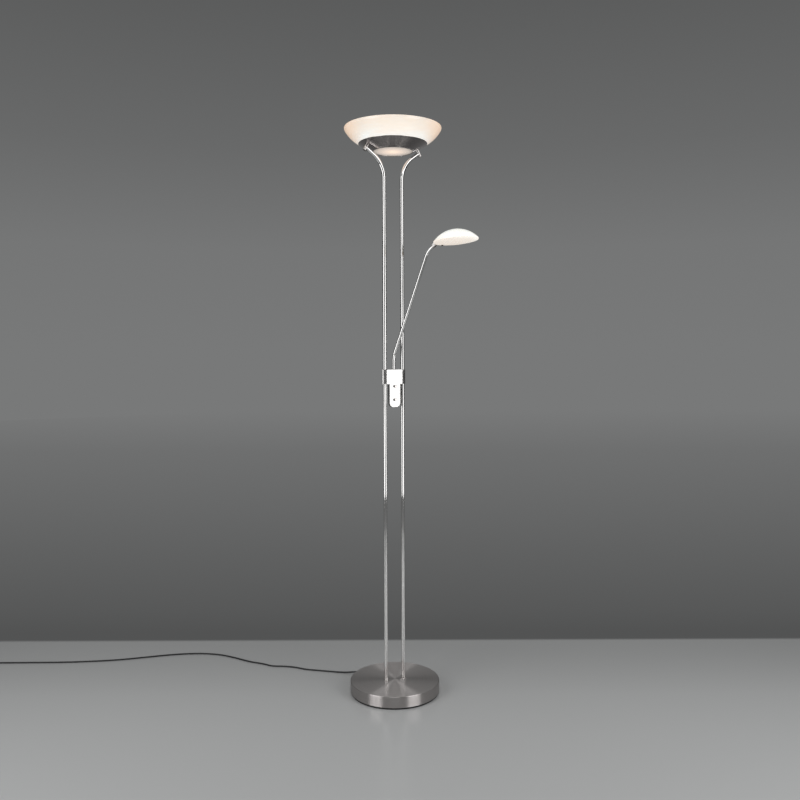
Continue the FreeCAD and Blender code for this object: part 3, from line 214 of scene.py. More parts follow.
def merged_copy(name, node):
    """A smooth-shaded copy of a CAD node's own mesh, with its doubles merged."""
    source = frame["nodes"][node]
    mesh = source.data.copy()
    mesh.name = name
    shell = bmesh.new()
    shell.from_mesh(mesh)
    bmesh.ops.remove_doubles(shell, verts=shell.verts, dist=2e-6)
    bmesh.ops.dissolve_degenerate(shell, edges=shell.edges, dist=1e-6)
    for face in shell.faces:
        face.smooth = True
    for edge in shell.edges:
        edge.smooth = len(edge.link_faces) == 2 and edge.calc_face_angle() < math.radians(copy_sharp_angle)
    shell.to_mesh(mesh)
    shell.free()
    if "custom_normal" in mesh.attributes:
        mesh.attributes.remove(mesh.attributes["custom_normal"])
    piece = bpy.data.objects.new(name, mesh)
    bpy.context.scene.collection.objects.link(piece)
    return piece


def in_head(points):
    """Head coordinates (rim plane at z = 0, hinge on the -X side) to the lamp, in millimetres: tilted
    about the hinge, moved to the arm's end and turned to the arm's azimuth."""
    pivot = np.array([-(head_radius + head_gap), 0.0, -head_drop])
    tilt, turn = math.radians(head_tilt), math.radians(arm_azimuth)
    p = points - pivot
    x = p[..., 0] * math.cos(tilt) - p[..., 2] * math.sin(tilt)
    z = p[..., 0] * math.sin(tilt) + p[..., 2] * math.cos(tilt)
    x, y = x + hinge_run, p[..., 1]
    return np.stack([x * math.cos(turn) + y * math.sin(turn), -x * math.sin(turn) + y * math.cos(turn),
                     z + hinge_rise], -1)


# the arm's corners in its own upright plane, and the head's hinge
lean, end_turn = math.radians(arm_lean), math.radians(arm_end_angle)
arm_second = (math.sin(lean) * arm_straight, arm_corner + math.cos(lean) * arm_straight)
arm_end = (arm_second[0] + math.sin(end_turn) * arm_tail, arm_second[1] + math.cos(end_turn) * arm_tail)
hinge_run = arm_end[0] + math.sin(end_turn) * fork_reach
hinge_rise = arm_end[1] + math.cos(end_turn) * fork_reach


# ---------------------------------------------------------------- cord, first of the pieces
def coil_points(start, heading):
    """The put-away turns: half turns of growing or shrinking radius, 8 points each, the fourth climbing
    to the upper layer, then a straight tail to the plug. start and heading are in the floor plane."""
    half_turns = (31.0, 28.2, 25.4, 22.6, 25.4, 28.2)
    layer, lead, tail_start, tail, steps = 5.6, 5.0, 6.0, 27.0, 8
    climbing = 3
    points = []
    x, z, side = 0.0, 0.0, -1
    for k, radius in enumerate(half_turns):
        rise = layer if k == climbing else 0.0
        centre = x + side * radius
        for n in range(steps):
            a = (n + 0.5) * math.pi / steps
            out = radius / math.cos(math.pi / steps / 2)
            points.append((centre - side * out * math.cos(a), out * math.sin(a) * (1 if side < 0 else -1),
                           z + rise * (n + 0.5) / steps))
        x, z, side = x + side * 2 * radius, z + rise, -side
    points.append((x, tail_start, z))
    points.append((x, tail, z))
    turn = math.atan2(heading[1], heading[0]) - math.pi / 2
    c, s = math.cos(turn), math.sin(turn)
    floor = cord_radius + cord_clearance
    return [(start[0] + px * c - (py + lead) * s, start[1] + px * s + (py + lead) * c, floor + pz)
            for px, py, pz in points]


cord_run = [
    (-31.45, 126.14, 12.5), (-42.82, 171.74, 12.5), (-57.0, 194.0, 6.5), (-86.0, 213.0, 3.2),
    (-121.0, 244.0, 2.6), (-160.0, 277.0, 2.6),
    (-194.0, 306.0, 2.6), (-216.0, 340.0, 2.6), (-250.0, 368.0, 2.6), (-284.0, 386.0, 2.6),
    (-304.0, 424.0, 2.6), (-338.0, 460.0, 2.6), (-372.0, 522.0, 2.6), (-414.0, 584.0, 2.6),
    (-478.0, 632.0, 2.6), (-560.0, 664.0, 2.6), (-650.0, 684.0, 2.6), (-745.0, 704.0, 2.6),
    (-838.0, 738.0, 2.6), (-930.0, 778.0, 2.6), (-1022.0, 826.0, 2.6), (-1112.0, 872.0, 2.6),
    (-1172.0, 904.0, 2.6),
]


def make_cord():
    """The mains cord: one smooth spline from the gland along the floor and through the coil."""
    data = bpy.data.curves.new("mains_cord", "CURVE")
    data.dimensions = "3D"
    data.bevel_depth = cord_radius * MM
    data.bevel_resolution = 5
    data.resolution_u = 6
    data.use_fill_caps = True
    spline = data.splines.new("NURBS")
    heading = (cord_run[-1][0] - cord_run[-2][0], cord_run[-1][1] - cord_run[-2][1])
    points = cord_run + coil_points(cord_run[-1], heading)
    spline.points.add(len(points) - 1)
    for spot, (x, y, z) in zip(spline.points, points):
        spot.co = (x * MM, y * MM, z * MM, 1.0)
    spline.order_u = 3
    spline.use_endpoint_u = True
    cord = bpy.data.objects.new("mains_cord", data)
    bpy.context.scene.collection.objects.link(cord)
    return cord


mains_cord = make_cord()


# ---------------------------------------------------------------- materials
def node_material(name):
    """A new material and its Principled shader."""
    material = bpy.data.materials.new(name)
    material.use_nodes = True
    return material, material.node_tree, material.node_tree.nodes["Principled BSDF"]


def brushing_group():
    """Fine lines: noise stretched along one way. Vector is in metres, the two scales are per metre, Depth
    is the bump's strength and Cloud the share of a broad mottle. Puts out a shade from 0 to 1 and a
    normal."""
    tree = bpy.data.node_groups.new("fine_lines", "ShaderNodeTree")
    face = tree.interface
    face.new_socket("Vector", in_out="INPUT", socket_type="NodeSocketVector")
    for label, value in (("Scale Along", 40.0), ("Scale Across", 4000.0), ("Depth", 0.2), ("Cloud", 0.3)):
        face.new_socket(label, in_out="INPUT", socket_type="NodeSocketFloat").default_value = value
    face.new_socket("Shade", in_out="OUTPUT", socket_type="NodeSocketFloat")
    face.new_socket("Normal", in_out="OUTPUT", socket_type="NodeSocketVector")
    nodes, links = tree.nodes, tree.links
    begin, end = nodes.new("NodeGroupInput"), nodes.new("NodeGroupOutput")
    split, join = nodes.new("ShaderNodeSeparateXYZ"), nodes.new("ShaderNodeCombineXYZ")
    links.new(begin.outputs["Vector"], split.inputs[0])
    for axis, scale in (("X", "Scale Along"), ("Y", "Scale Across"), ("Z", "Scale Along")):
        product = nodes.new("ShaderNodeMath")
        product.operation = "MULTIPLY"
        links.new(split.outputs[axis], product.inputs[0])
        links.new(begin.outputs[scale], product.inputs[1])
        links.new(product.outputs[0], join.inputs[axis])
    lines = nodes.new("ShaderNodeTexNoise")
    lines.inputs["Scale"].default_value = 1.0
    lines.inputs["Detail"].default_value = 3.0
    links.new(join.outputs[0], lines.inputs["Vector"])
    cloud = nodes.new("ShaderNodeTexNoise")
    cloud.inputs["Scale"].default_value = 28.0
    links.new(begin.outputs["Vector"], cloud.inputs["Vector"])
    blend = nodes.new("ShaderNodeMix")
    links.new(begin.outputs["Cloud"], blend.inputs["Factor"])
    links.new(lines.outputs["Fac"], blend.inputs["A"])
    links.new(cloud.outputs["Fac"], blend.inputs["B"])
    bump = nodes.new("ShaderNodeBump")
    bump.inputs["Distance"].default_value = 0.0002
    links.new(begin.outputs["Depth"], bump.inputs["Strength"])
    links.new(lines.outputs["Fac"], bump.inputs["Height"])
    links.new(blend.outputs["Result"], end.inputs["Shade"])
    links.new(bump.outputs["Normal"], end.inputs["Normal"])
    return tree


fine_lines = brushing_group()


noise_low, noise_high = 0.3, 0.7  # where a noise's values mostly lie


def stops(tree, source, places):
    """A colour ramp through several colours, read from a value. places holds a position and a colour
    for each."""
    node = tree.nodes.new("ShaderNodeValToRGB")
    elements = node.color_ramp.elements
    elements[0].position, elements[0].color = places[0][0], (*places[0][1], 1.0)
    elements[1].position, elements[1].color = places[-1][0], (*places[-1][1], 1.0)
    for position, colour in places[1:-1]:
        elements.new(position).color = (*colour, 1.0)
    tree.links.new(source, node.inputs[0])
    return node.outputs[0]


def ramp(tree, source, low, high):
    """A colour ramp between two colours over a noise's values."""
    return stops(tree, source, ((noise_low, low), (noise_high, high)))


def share(tree, source, low, high):
    """How far a value is from low to high, from 0 to 1, with soft ends."""
    node = tree.nodes.new("ShaderNodeMapRange")
    node.interpolation_type = "SMOOTHSTEP"
    node.inputs["From Min"].default_value = low
    node.inputs["From Max"].default_value = high
    tree.links.new(source, node.inputs["Value"])
    return node.outputs["Result"]


def spread(tree, source, low, high):
    """A noise's values mapped to the range low to high."""
    node = tree.nodes.new("ShaderNodeMapRange")
    node.inputs["From Min"].default_value = noise_low
    node.inputs["From Max"].default_value = noise_high
    node.inputs["To Min"].default_value = low
    node.inputs["To Max"].default_value = high
    tree.links.new(source, node.inputs["Value"])
    return node.outputs["Result"]


def brushed_metal(name, low, high, rough, uses_uv, along, across, depth, cloud, anisotropic=0.0, tip=0.0):
    """Metal between two colours with fine brush lines, whose scales along and across are per metre. The
    lines follow the UV map where uses_uv, otherwise the object's own axes, tipped about X by tip
    degrees. cloud is the mottle's share."""
    material, tree, shader = node_material(name)
    coordinates = tree.nodes.new("ShaderNodeTexCoord")
    vector = coordinates.outputs["UV" if uses_uv else "Object"]
    if tip:
        mapping = tree.nodes.new("ShaderNodeMapping")
        mapping.inputs["Rotation"].default_value = (math.radians(tip), 0.0, 0.0)
        tree.links.new(vector, mapping.inputs["Vector"])
        vector = mapping.outputs["Vector"]
    lines = tree.nodes.new("ShaderNodeGroup")
    lines.node_tree = fine_lines
    tree.links.new(vector, lines.inputs["Vector"])
    settings = {"Scale Along": along, "Scale Across": across, "Depth": depth, "Cloud": cloud}
    for label, value in settings.items():
        lines.inputs[label].default_value = value
    shade = lines.outputs["Shade"]
    tree.links.new(ramp(tree, shade, low, high), shader.inputs["Base Color"])
    tree.links.new(spread(tree, shade, *rough), shader.inputs["Roughness"])
    if depth:
        tree.links.new(lines.outputs["Normal"], shader.inputs["Normal"])
    shader.inputs["Metallic"].default_value = 1.0
    if anisotropic:
        shader.inputs["Anisotropic"].default_value = anisotropic
        shader.inputs["Anisotropic Rotation"].default_value = 0.25
        tangent = tree.nodes.new("ShaderNodeTangent")
        tangent.direction_type = "UV_MAP"
        tangent.uv_map = "UVMap"
        tree.links.new(tangent.outputs[0], shader.inputs["Tangent"])
    return material


def grained(name, low, high, rough, scale, depth, metallic=0.0):
    """A moulded, painted or cast surface: a mottled colour and a fine grain, 0.3 mm deep at depth 1."""
    material, tree, shader = node_material(name)
    coordinates = tree.nodes.new("ShaderNodeTexCoord")
    noise = tree.nodes.new("ShaderNodeTexNoise")
    noise.inputs["Scale"].default_value = scale
    noise.inputs["Detail"].default_value = 4.0
    tree.links.new(coordinates.outputs["Object"], noise.inputs["Vector"])
    tree.links.new(ramp(tree, noise.outputs["Fac"], low, high), shader.inputs["Base Color"])
    tree.links.new(spread(tree, noise.outputs["Fac"], *rough), shader.inputs["Roughness"])
    bump = tree.nodes.new("ShaderNodeBump")
    bump.inputs["Strength"].default_value = depth
    bump.inputs["Distance"].default_value = 0.3 * MM
    tree.links.new(noise.outputs["Fac"], bump.inputs["Height"])
    tree.links.new(bump.outputs["Normal"], shader.inputs["Normal"])
    shader.inputs["Metallic"].default_value = metallic
    return material


def opal(name, body, glow, low_z, high_z, warm, strength=1.0, coat=0.6, cloud_scale=14.0, ends=None):
    """Lit opal glass: the glow runs through its colours from low_z to high_z, with soft level streaks of the
    warm colour. ends gives where the two sides, taken along the camera's azimuth, turn warm, as distances
    from the middle: a painted edge glow that stands for the deeper light seen through the glass at a slant."""
    material, tree, shader = node_material(name)
    nodes, links = tree.nodes, tree.links
    coordinates = nodes.new("ShaderNodeTexCoord")
    split = nodes.new("ShaderNodeSeparateXYZ")
    links.new(coordinates.outputs["Object"], split.inputs[0])
    height = nodes.new("ShaderNodeMapRange")
    height.inputs["From Min"].default_value = low_z
    height.inputs["From Max"].default_value = high_z
    links.new(split.outputs["Z"], height.inputs["Value"])
    mapping = nodes.new("ShaderNodeMapping")
    mapping.inputs["Scale"].default_value = (1.0, 1.0, 5.0)
    links.new(coordinates.outputs["Object"], mapping.inputs["Vector"])
    noise = nodes.new("ShaderNodeTexNoise")
    noise.inputs["Scale"].default_value = cloud_scale
    noise.inputs["Detail"].default_value = 3.0
    noise.inputs["Distortion"].default_value = 0.6
    links.new(mapping.outputs["Vector"], noise.inputs["Vector"])
    tone = stops(tree, height.outputs["Result"], glow)
    cloudy = nodes.new("ShaderNodeMix")
    cloudy.data_type = "RGBA"
    streaks_and_painted_edge_glow = spread(tree, noise.outputs["Fac"], 0.0, 0.35)
    # painted edge glow: the two sides seen along the camera's azimuth take the warm colour, standing for the
    # deeper light through the glass at a slant
    if ends:
        across = nodes.new("ShaderNodeMapping")
        across.inputs["Rotation"].default_value = (0.0, 0.0, math.radians(view_azimuth))
        links.new(coordinates.outputs["Object"], across.inputs["Vector"])
        sides = nodes.new("ShaderNodeSeparateXYZ")
        links.new(across.outputs["Vector"], sides.inputs[0])
        distance = nodes.new("ShaderNodeMath")
        distance.operation = "ABSOLUTE"
        links.new(sides.outputs["X"], distance.inputs[0])
        both = nodes.new("ShaderNodeMath")
        both.operation = "MAXIMUM"
        links.new(streaks_and_painted_edge_glow, both.inputs[0])
        links.new(share(tree, distance.outputs[0], *ends), both.inputs[1])
        streaks_and_painted_edge_glow = both.outputs[0]
    links.new(streaks_and_painted_edge_glow, cloudy.inputs["Factor"])
    links.new(tone, cloudy.inputs["A"])
    cloudy.inputs["B"].default_value = (*warm, 1.0)
    links.new(cloudy.outputs["Result"], shader.inputs["Emission Color"])
    shadow = tuple(0.97 * c for c in body)
    links.new(ramp(tree, noise.outputs["Fac"], shadow, body), shader.inputs["Base Color"])
    shader.inputs["Emission Strength"].default_value = strength
    shader.inputs["Roughness"].default_value = 0.35
    shader.inputs["Coat Weight"].default_value = coat
    shader.inputs["Coat Roughness"].default_value = 0.06
    shader.inputs["Subsurface Weight"].default_value = 0.2
    shader.inputs["Subsurface Radius"].default_value = (0.004, 0.003, 0.002)
    return material


def lit_lens(name, body, glow, reach):
    """A lit opal disc about the lamp's axis: the glow runs through its colours from the middle to reach."""
    material, tree, shader = node_material(name)
    nodes, links = tree.nodes, tree.links
    coordinates = nodes.new("ShaderNodeTexCoord")
    flat = nodes.new("ShaderNodeVectorMath")
    flat.operation = "MULTIPLY"
    flat.inputs[1].default_value = (1.0, 1.0, 0.0)
    links.new(coordinates.outputs["Object"], flat.inputs[0])
    distance = nodes.new("ShaderNodeVectorMath")
    distance.operation = "LENGTH"
    links.new(flat.outputs[0], distance.inputs[0])
    way = nodes.new("ShaderNodeMapRange")
    way.inputs["From Max"].default_value = reach
    links.new(distance.outputs["Value"], way.inputs["Value"])
    noise = nodes.new("ShaderNodeTexNoise")
    noise.inputs["Scale"].default_value = 40.0
    links.new(coordinates.outputs["Object"], noise.inputs["Vector"])
    links.new(stops(tree, way.outputs["Result"], glow), shader.inputs["Emission Color"])
    shadow = tuple(0.94 * c for c in body)
    links.new(ramp(tree, noise.outputs["Fac"], shadow, body), shader.inputs["Base Color"])
    shader.inputs["Emission Strength"].default_value = 1.0
    shader.inputs["Roughness"].default_value = 0.45
    return material


nickel_low, nickel_high = (0.47, 0.44, 0.43), (0.60, 0.57, 0.56)
spun_nickel = brushed_metal("spun_nickel", nickel_low, nickel_high, rough=(0.31, 0.38), uses_uv=True,
                            along=3.0, across=5200.0, depth=0.05, anisotropic=1.0, cloud=0.15)
ring_nickel = brushed_metal("ring_nickel", (0.45, 0.42, 0.41), (0.57, 0.53, 0.52), rough=(0.19, 0.24),
                            uses_uv=True, along=3.0, across=5200.0, depth=0.05, anisotropic=1.0, cloud=0.2)
tube_nickel = brushed_metal("tube_nickel", (0.78, 0.77, 0.76), (0.88, 0.87, 0.86), rough=(0.04, 0.06),
                            uses_uv=True, along=1500.0, across=18.0, depth=0.0, cloud=0.2)
satin_nickel = brushed_metal("satin_nickel", nickel_low, (0.64, 0.62, 0.60), rough=(0.20, 0.30),
                             uses_uv=False, along=60.0, across=60.0, depth=0.12, cloud=0.5)
face_nickel = brushed_metal("face_nickel", (0.60, 0.59, 0.58), (0.70, 0.69, 0.68), rough=(0.22, 0.34),
                            uses_uv=False, along=30.0, across=30.0, depth=0.15, cloud=0.3, tip=90.0)
steel = brushed_metal("plain_steel", (0.42, 0.42, 0.43), (0.56, 0.56, 0.57), rough=(0.25, 0.40),
                      uses_uv=False, along=200.0, across=200.0, depth=0.1, cloud=0.5)
aluminium = brushed_metal("mill_aluminium", (0.62, 0.63, 0.64), (0.76, 0.77, 0.78), rough=(0.28, 0.42),
                          uses_uv=False, along=150.0, across=600.0, depth=0.12, cloud=0.4)
brass = brushed_metal("turned_brass", (0.56, 0.42, 0.20), (0.72, 0.57, 0.30), rough=(0.20, 0.35),
                      uses_uv=False, along=90.0, across=900.0, depth=0.15, cloud=0.4)
iron = grained("cast_iron", (0.015, 0.015, 0.016), (0.05, 0.05, 0.05), rough=(0.55, 0.8), scale=900.0,
               depth=0.6, metallic=0.6)
black_paint = grained("black_paint", (0.010, 0.010, 0.010), (0.022, 0.022, 0.022), rough=(0.4, 0.55),
                      scale=1200.0, depth=0.3)
pad_rubber = grained("pad_rubber", (0.012, 0.012, 0.012), (0.03, 0.03, 0.03), rough=(0.7, 0.9),
                     scale=1500.0, depth=0.5)
black_plastic = grained("black_plastic", (0.008, 0.008, 0.009), (0.018, 0.018, 0.019), rough=(0.35, 0.5),
                        scale=1800.0, depth=0.25)
cord_sheath = grained("cord_sheath", (0.006, 0.006, 0.007), (0.016, 0.016, 0.017), rough=(0.38, 0.55),
                      scale=700.0, depth=0.2)
white_plastic = grained("white_plastic", (0.70, 0.69, 0.66), (0.80, 0.79, 0.76), rough=(0.35, 0.5),
                        scale=900.0, depth=0.15)
lead_white = grained("white_lead", (0.60, 0.60, 0.58), (0.74, 0.74, 0.72), rough=(0.35, 0.5), scale=600.0,
                     depth=0.1)
board_white = grained("circuit_board", (0.62, 0.64, 0.60), (0.80, 0.81, 0.78), rough=(0.3, 0.45), scale=350.0,
                      depth=0.1)
silicone = grained("silicone", (0.55, 0.54, 0.52), (0.70, 0.69, 0.67), rough=(0.4, 0.55), scale=500.0,
                   depth=0.15)
# ends gives the bowl a painted edge glow on its two sides as the camera sees them
bowl_opal = opal("bowl_opal", body=(0.62, 0.58, 0.53), low_z=1.752, high_z=1.798, warm=(0.64, 0.44, 0.30),
                 glow=((0.0, (0.70, 0.74, 0.74)), (0.35, (0.62, 0.60, 0.55)), (0.7, (0.54, 0.48, 0.41)),
                       (1.0, (0.47, 0.41, 0.355))), ends=(0.075, 0.150))
shade_opal = opal("shade_opal", body=(0.64, 0.61, 0.57), low_z=1.430, high_z=1.462, warm=(0.76, 0.72, 0.64),
                  glow=((0.0, (0.53, 0.44, 0.35)), (0.3, (0.76, 0.76, 0.72)), (0.6, (0.74, 0.76, 0.74)),
                        (1.0, (0.66, 0.70, 0.68))), cloud_scale=30.0)
lens_opal = lit_lens("lens_opal", body=(0.45, 0.40, 0.36), reach=0.062,
                     glow=((0.0, (0.98, 0.77, 0.60)), (0.45, (0.70, 0.57, 0.48)), (0.8, (0.44, 0.385, 0.34)),
                           (1.0, (0.17, 0.155, 0.14))))
dome_white = opal("dome_white", body=(0.70, 0.67, 0.63), low_z=1.752, high_z=1.770, warm=(0.90, 0.82, 0.72),
                  glow=((0.0, (0.80, 0.74, 0.66)), (1.0, (0.90, 0.87, 0.82))), strength=0.8, coat=0.1)
reading_lens = opal("reading_lens", body=(0.60, 0.56, 0.51), low_z=1.424, high_z=1.440,
                    warm=(0.62, 0.54, 0.46), glow=((0.0, (0.68, 0.60, 0.53)), (0.6, (0.70, 0.64, 0.58)),
                                                   (1.0, (0.84, 0.83, 0.79))), coat=0.2)

slot_materials = {
    "brushed_nickel": satin_nickel, "thread_steel": steel, "nickel_aluminium": satin_nickel,
    "plain_aluminium": aluminium, "cast_iron": iron, "black_sheet": black_paint, "foot_rubber": pad_rubber,
    "black_plastic": black_plastic, "cord_black": cord_sheath, "white_plastic": white_plastic,
    "white_lead": lead_white, "brass": brass, "circuit_board": board_white, "opal_lens": lens_opal,
    "opal_glass": bowl_opal, "silicone": silicone,
}
for entry in frame["record"]["subparts"]:
    part = frame["nodes"][entry["node"]]
    part.data.materials.clear()
    part.data.materials.append(slot_materials[entry["material_slot"]])


def dress(piece, material, body, node):
    """Gives a piece its material and the body it moves with, and hides the CAD node it stands for."""
    piece.data.materials.clear()
    piece.data.materials.append(material)
    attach(piece, body)
    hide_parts(node)


# ---------------------------------------------------------------- base
def base_profile():
    """The spun cover's section: top, rounded edge, side wall, and back up inside."""
    outer, inner = base_radius, base_radius - base_wall
    inner_edge, inner_top = base_edge - base_wall, base_top - base_wall
    points = [(0.0, base_top), (base_mid_radius, base_top)]
    points += arc(outer - base_edge, base_top - base_edge, base_edge, 90, 0, 10)
    points += [(outer, base_mid_height), (outer, base_lift), (inner, base_lift), (inner, base_mid_height)]
    points += arc(inner - inner_edge, inner_top - inner_edge, inner_edge, 0, 90, 6)
    return points + [(0.0, inner_top)]


pad_profile = [(0, 0), (pad_radius - pad_edge, 0), (pad_radius, pad_edge), (pad_radius, pad_thickness),
               (0, pad_thickness)]
dress(turned("base_top", base_profile(), 256), spun_nickel, "lamp", "base_cover")
dress(turned("foot_pad", pad_profile, 192), pad_rubber, "lamp", "base_pad")
dress(merged_copy("cable_gland_piece", "cable_gland"), black_plastic, "lamp", "cable_gland")
dress(merged_copy("foot_collars_piece", "foot_collars"), satin_nickel, "lamp",
      "foot_collars")

# ---------------------------------------------------------------- levels of the bowl, ring and barrels
ring_tan = math.tan(math.radians(ring_slope))
first_slope, first_bend = bowl_stages[0][1:]
bowl_flat_radius = ring_high_radius - first_bend * math.sin(math.radians(first_slope))
bowl_depth, bowl_run = 0.0, bowl_flat_radius
for slope_from, slope_to, bend in bowl_stages:
    bowl_run, bowl_depth = slope_run(bowl_run, bowl_depth, slope_from, slope_to, bend, 2)[1]
bowl_bottom = total_height - bowl_glass / 2 - bowl_depth
bowl_floor = bowl_bottom + bowl_glass
ring_high = bowl_bottom + first_bend * (1 - math.cos(math.radians(first_slope))) - bowl_ring_gap
ring_low = ring_high - (ring_high_radius - ring_low_radius) * ring_tan
barrel_top = np.array([barrel_contact, 0.0, ring_low + (barrel_contact - ring_low_radius) * ring_tan])
barrel_axis = np.array([math.sin(math.radians(ring_slope)), 0.0, -math.cos(math.radians(ring_slope))])
stem_end = barrel_top + barrel_axis * (barrel_length / 2)
stem_corner_z = stem_end[2] - (stem_end[0] - stem_x) / math.tan(math.radians(stem_angle))
stem_corner = np.array([stem_x, 0.0, stem_corner_z])


# ---------------------------------------------------------------- stems
def against_barrel(shape):
    """Draws the tube's last ring back along the tube to the barrel's round wall: each point goes to the
    nearer root of the quadratic for a line that meets a cylinder."""
    way = stem_end - stem_corner
    way = way / np.linalg.norm(way)
    rows = shape.shape[0] // 2
    for row in (rows - 1, rows):
        p = shape[row] - stem_end
        square_way = way - barrel_axis * (way @ barrel_axis)
        square_p = p - np.outer(p @ barrel_axis, barrel_axis)
        a = square_way @ square_way
        b = 2 * square_p @ square_way
        c = (square_p ** 2).sum(1) - (barrel_radius + touch_gap) ** 2
        back = (-b - np.sqrt(np.maximum(b ** 2 - 4 * a * c, 0.0))) / (2 * a)
        shape[row] = shape[row] + back[:, None] * way
    return shape


def upper_end(side):
    """What finishes an upper stem on one side: fitted to the barrel, then x times side."""
    def fitted(shape):
        """The tube's points, fitted and on their side."""
        shape = against_barrel(shape)
        shape[..., 0] *= side
        return shape
    return fitted


for side, word in ((1, "right"), (-1, "left")):
    foot, joint = base_top + touch_gap, stem_joint + touch_gap
    lower = pipe("lower_stem_" + word, [(side * stem_x, 0, foot), (side * stem_x, 0, stem_joint)],
                 [], (0, 1, 0), stem_radius, stem_wall)
    dress(lower, tube_nickel, "lamp", "stem_lower_" + word)
    upper = pipe("upper_stem_" + word, [(stem_x, 0, joint), stem_corner, stem_end], [stem_bend], (0, 1, 0),
                 stem_radius, stem_wall, ends=upper_end(side))
    dress(upper, tube_nickel, "lamp", "stem_upper_" + word)
    dress(merged_copy("barrel_piece_" + word, "barrel_" + word), satin_nickel, "lamp",
          "barrel_" + word)


# ---------------------------------------------------------------- uplight
def ring_profile():
    """The ring's section: a lip under the lens, a straight slope outwards and up, and its upper edge."""
    rise = ring_wall / math.cos(math.radians(ring_slope))
    foot_radius = ring_low_radius + (ring_wall - rise) / ring_tan
    lip_radius = ring_low_radius - ring_lip
    slope = zip(np.linspace(ring_low_radius, ring_high_radius, 7), np.linspace(ring_low, ring_high, 7))
    points = [(lip_radius, ring_low), *slope, (ring_high_radius, ring_high + ring_wall / 2)]
    points += [(ring_high_radius - ring_wall, ring_high + rise - ring_wall * ring_tan)]
    return points + [(foot_radius, ring_low + ring_wall), (lip_radius, ring_low + ring_wall)]


def lens_profile():
    """The lens's section: a shallow round cap hanging down, and a flat rim that lies on the lip."""
    low = ring_low + ring_wall + touch_gap
    radius = ring_low_radius - lens_side_gap
    cap = cap_run(ring_low_radius - ring_lip - lens_lip_gap, low, lens_dome, 12)
    points = [(r, 2 * low - z) for r, z in cap[::-1]]
    return points + [(radius, low), (radius, low + lens_thickness), (0.0, low + lens_thickness)]


def bowl_profile():
    """The bowl's section: three bends outside, a half round rim, and the same bends less the glass
    inside."""
    outer, inner = [], []
    outside, inside = (bowl_flat_radius, bowl_bottom), (bowl_flat_radius, bowl_floor)
    for slope_from, slope_to, bend in bowl_stages:
        points, outside = slope_run(*outside, slope_from, slope_to, bend, 14)
        outer += points
        points, inside = slope_run(*inside, slope_from, slope_to, bend - bowl_glass, 14)
        inner += points
    middle = ((outside[0] + inside[0]) / 2, (outside[1] + inside[1]) / 2)
    rim = arc(*middle, bowl_glass / 2, -2, 178, 9)[1:-1]
    return [(bowl_hole, bowl_bottom)] + outer + rim + inner[::-1] + [(bowl_hole, bowl_floor)]


def dome_profile():
    """The light source's cover: one round cap inside another, both standing on the bowl's floor."""
    low = bowl_floor + touch_gap
    inner = cap_run(dome_radius - 2 * dome_wall, low, dome_height - dome_wall, 24)
    return cap_run(dome_radius, low, dome_height, 24) + inner[::-1]


dress(turned("ring", ring_profile(), 256), ring_nickel, "lamp", "head_ring")
dress(turned("underside_lens", lens_profile(), 192), lens_opal, "lamp", "bottom_lens")
dress(turned("opal_bowl", bowl_profile(), 256), bowl_opal, "lamp", "glass_bowl")
dress(turned("light_dome", dome_profile(), 128), dome_white, "lamp", "led_cover")

# ---------------------------------------------------------------- housing and dimmer
for name, node, material, slot in (
        ("clamp_body", "housing_body", face_nickel, "nickel_aluminium"),
        ("clamp_cap", "housing_cap", face_nickel, "nickel_aluminium"),
        ("bush", "arm_bush", black_plastic, "black_plastic"),
        ("dimmer_shell", "dimmer_cover", face_nickel, "nickel_aluminium"),
        ("dimmer_back", "dimmer_back_plate", satin_nickel, "nickel_aluminium")):
    dress(merged_copy(name, node), material, "lamp", node)
for word in ("upper", "lower"):
    dress(merged_copy("dimmer_knob_" + word, "knob_" + word), satin_nickel, "knob_" + word,
          "knob_" + word)


# ---------------------------------------------------------------- reading arm and head
def in_arm_plane(run, z):
    """A place in the arm's upright plane: run outwards from the arm's foot, at the arm's azimuth."""
    turn = math.radians(arm_azimuth)
    return (run * math.cos(turn), -run * math.sin(turn), z)


def shade_profile():
    """The glass cap's section: the outer dome, and the inner one about the same centre."""
    sphere = (head_radius ** 2 + head_height ** 2) / (2 * head_height)
    inner_edge = math.sqrt((sphere - head_glass) ** 2 - (sphere - head_height) ** 2)
    inner = cap_run(inner_edge, 0.0, head_height - head_glass, 40)
    return cap_run(head_radius, 0.0, head_height, 40) + inner[::-1]


arm_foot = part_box("reading_arm")[0].z / MM
arm_corners = [in_arm_plane(0, arm_foot), in_arm_plane(0, arm_corner), in_arm_plane(*arm_second),
               in_arm_plane(*arm_end)]
arm_side = (math.sin(math.radians(arm_azimuth)), math.cos(math.radians(arm_azimuth)), 0)
arm_tube = pipe("arm_tube", arm_corners, [arm_first_bend, arm_second_bend], arm_side, arm_radius, arm_wall)
dress(arm_tube, tube_nickel, "arm", "reading_arm")
dress(merged_copy("fork", "arm_fork"), satin_nickel, "arm", "arm_fork")
dress(merged_copy("pin", "hinge_pin"), steel, "arm", "hinge_pin")
dress(turned("glass_cap", shade_profile(), 192, in_head), shade_opal, "head", "reading_shade")
for name, node, material, slot in (
        ("bezel", "reading_bezel", reading_lens, "white_plastic"),
        ("diffuser", "reading_diffuser", reading_lens, "opal_lens"),
        ("strap", "reading_bracket", satin_nickel, "nickel_aluminium")):
    dress(merged_copy(name, node), material, "head", node)

# ---------------------------------------------------------------- cord and plug
plug = merged_copy("plug", "power_plug")
dress(plug, black_plastic, "lamp", "power_plug")
mains_cord.data.materials.append(cord_sheath)
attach(mains_cord, "lamp")
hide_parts("power_cord", "cord_coil")


# ---------------------------------------------------------------- floor, light and background
def grey(level):
    """A backdrop grey, a trace cooler than neutral."""
    return (0.985 * level, level, level)
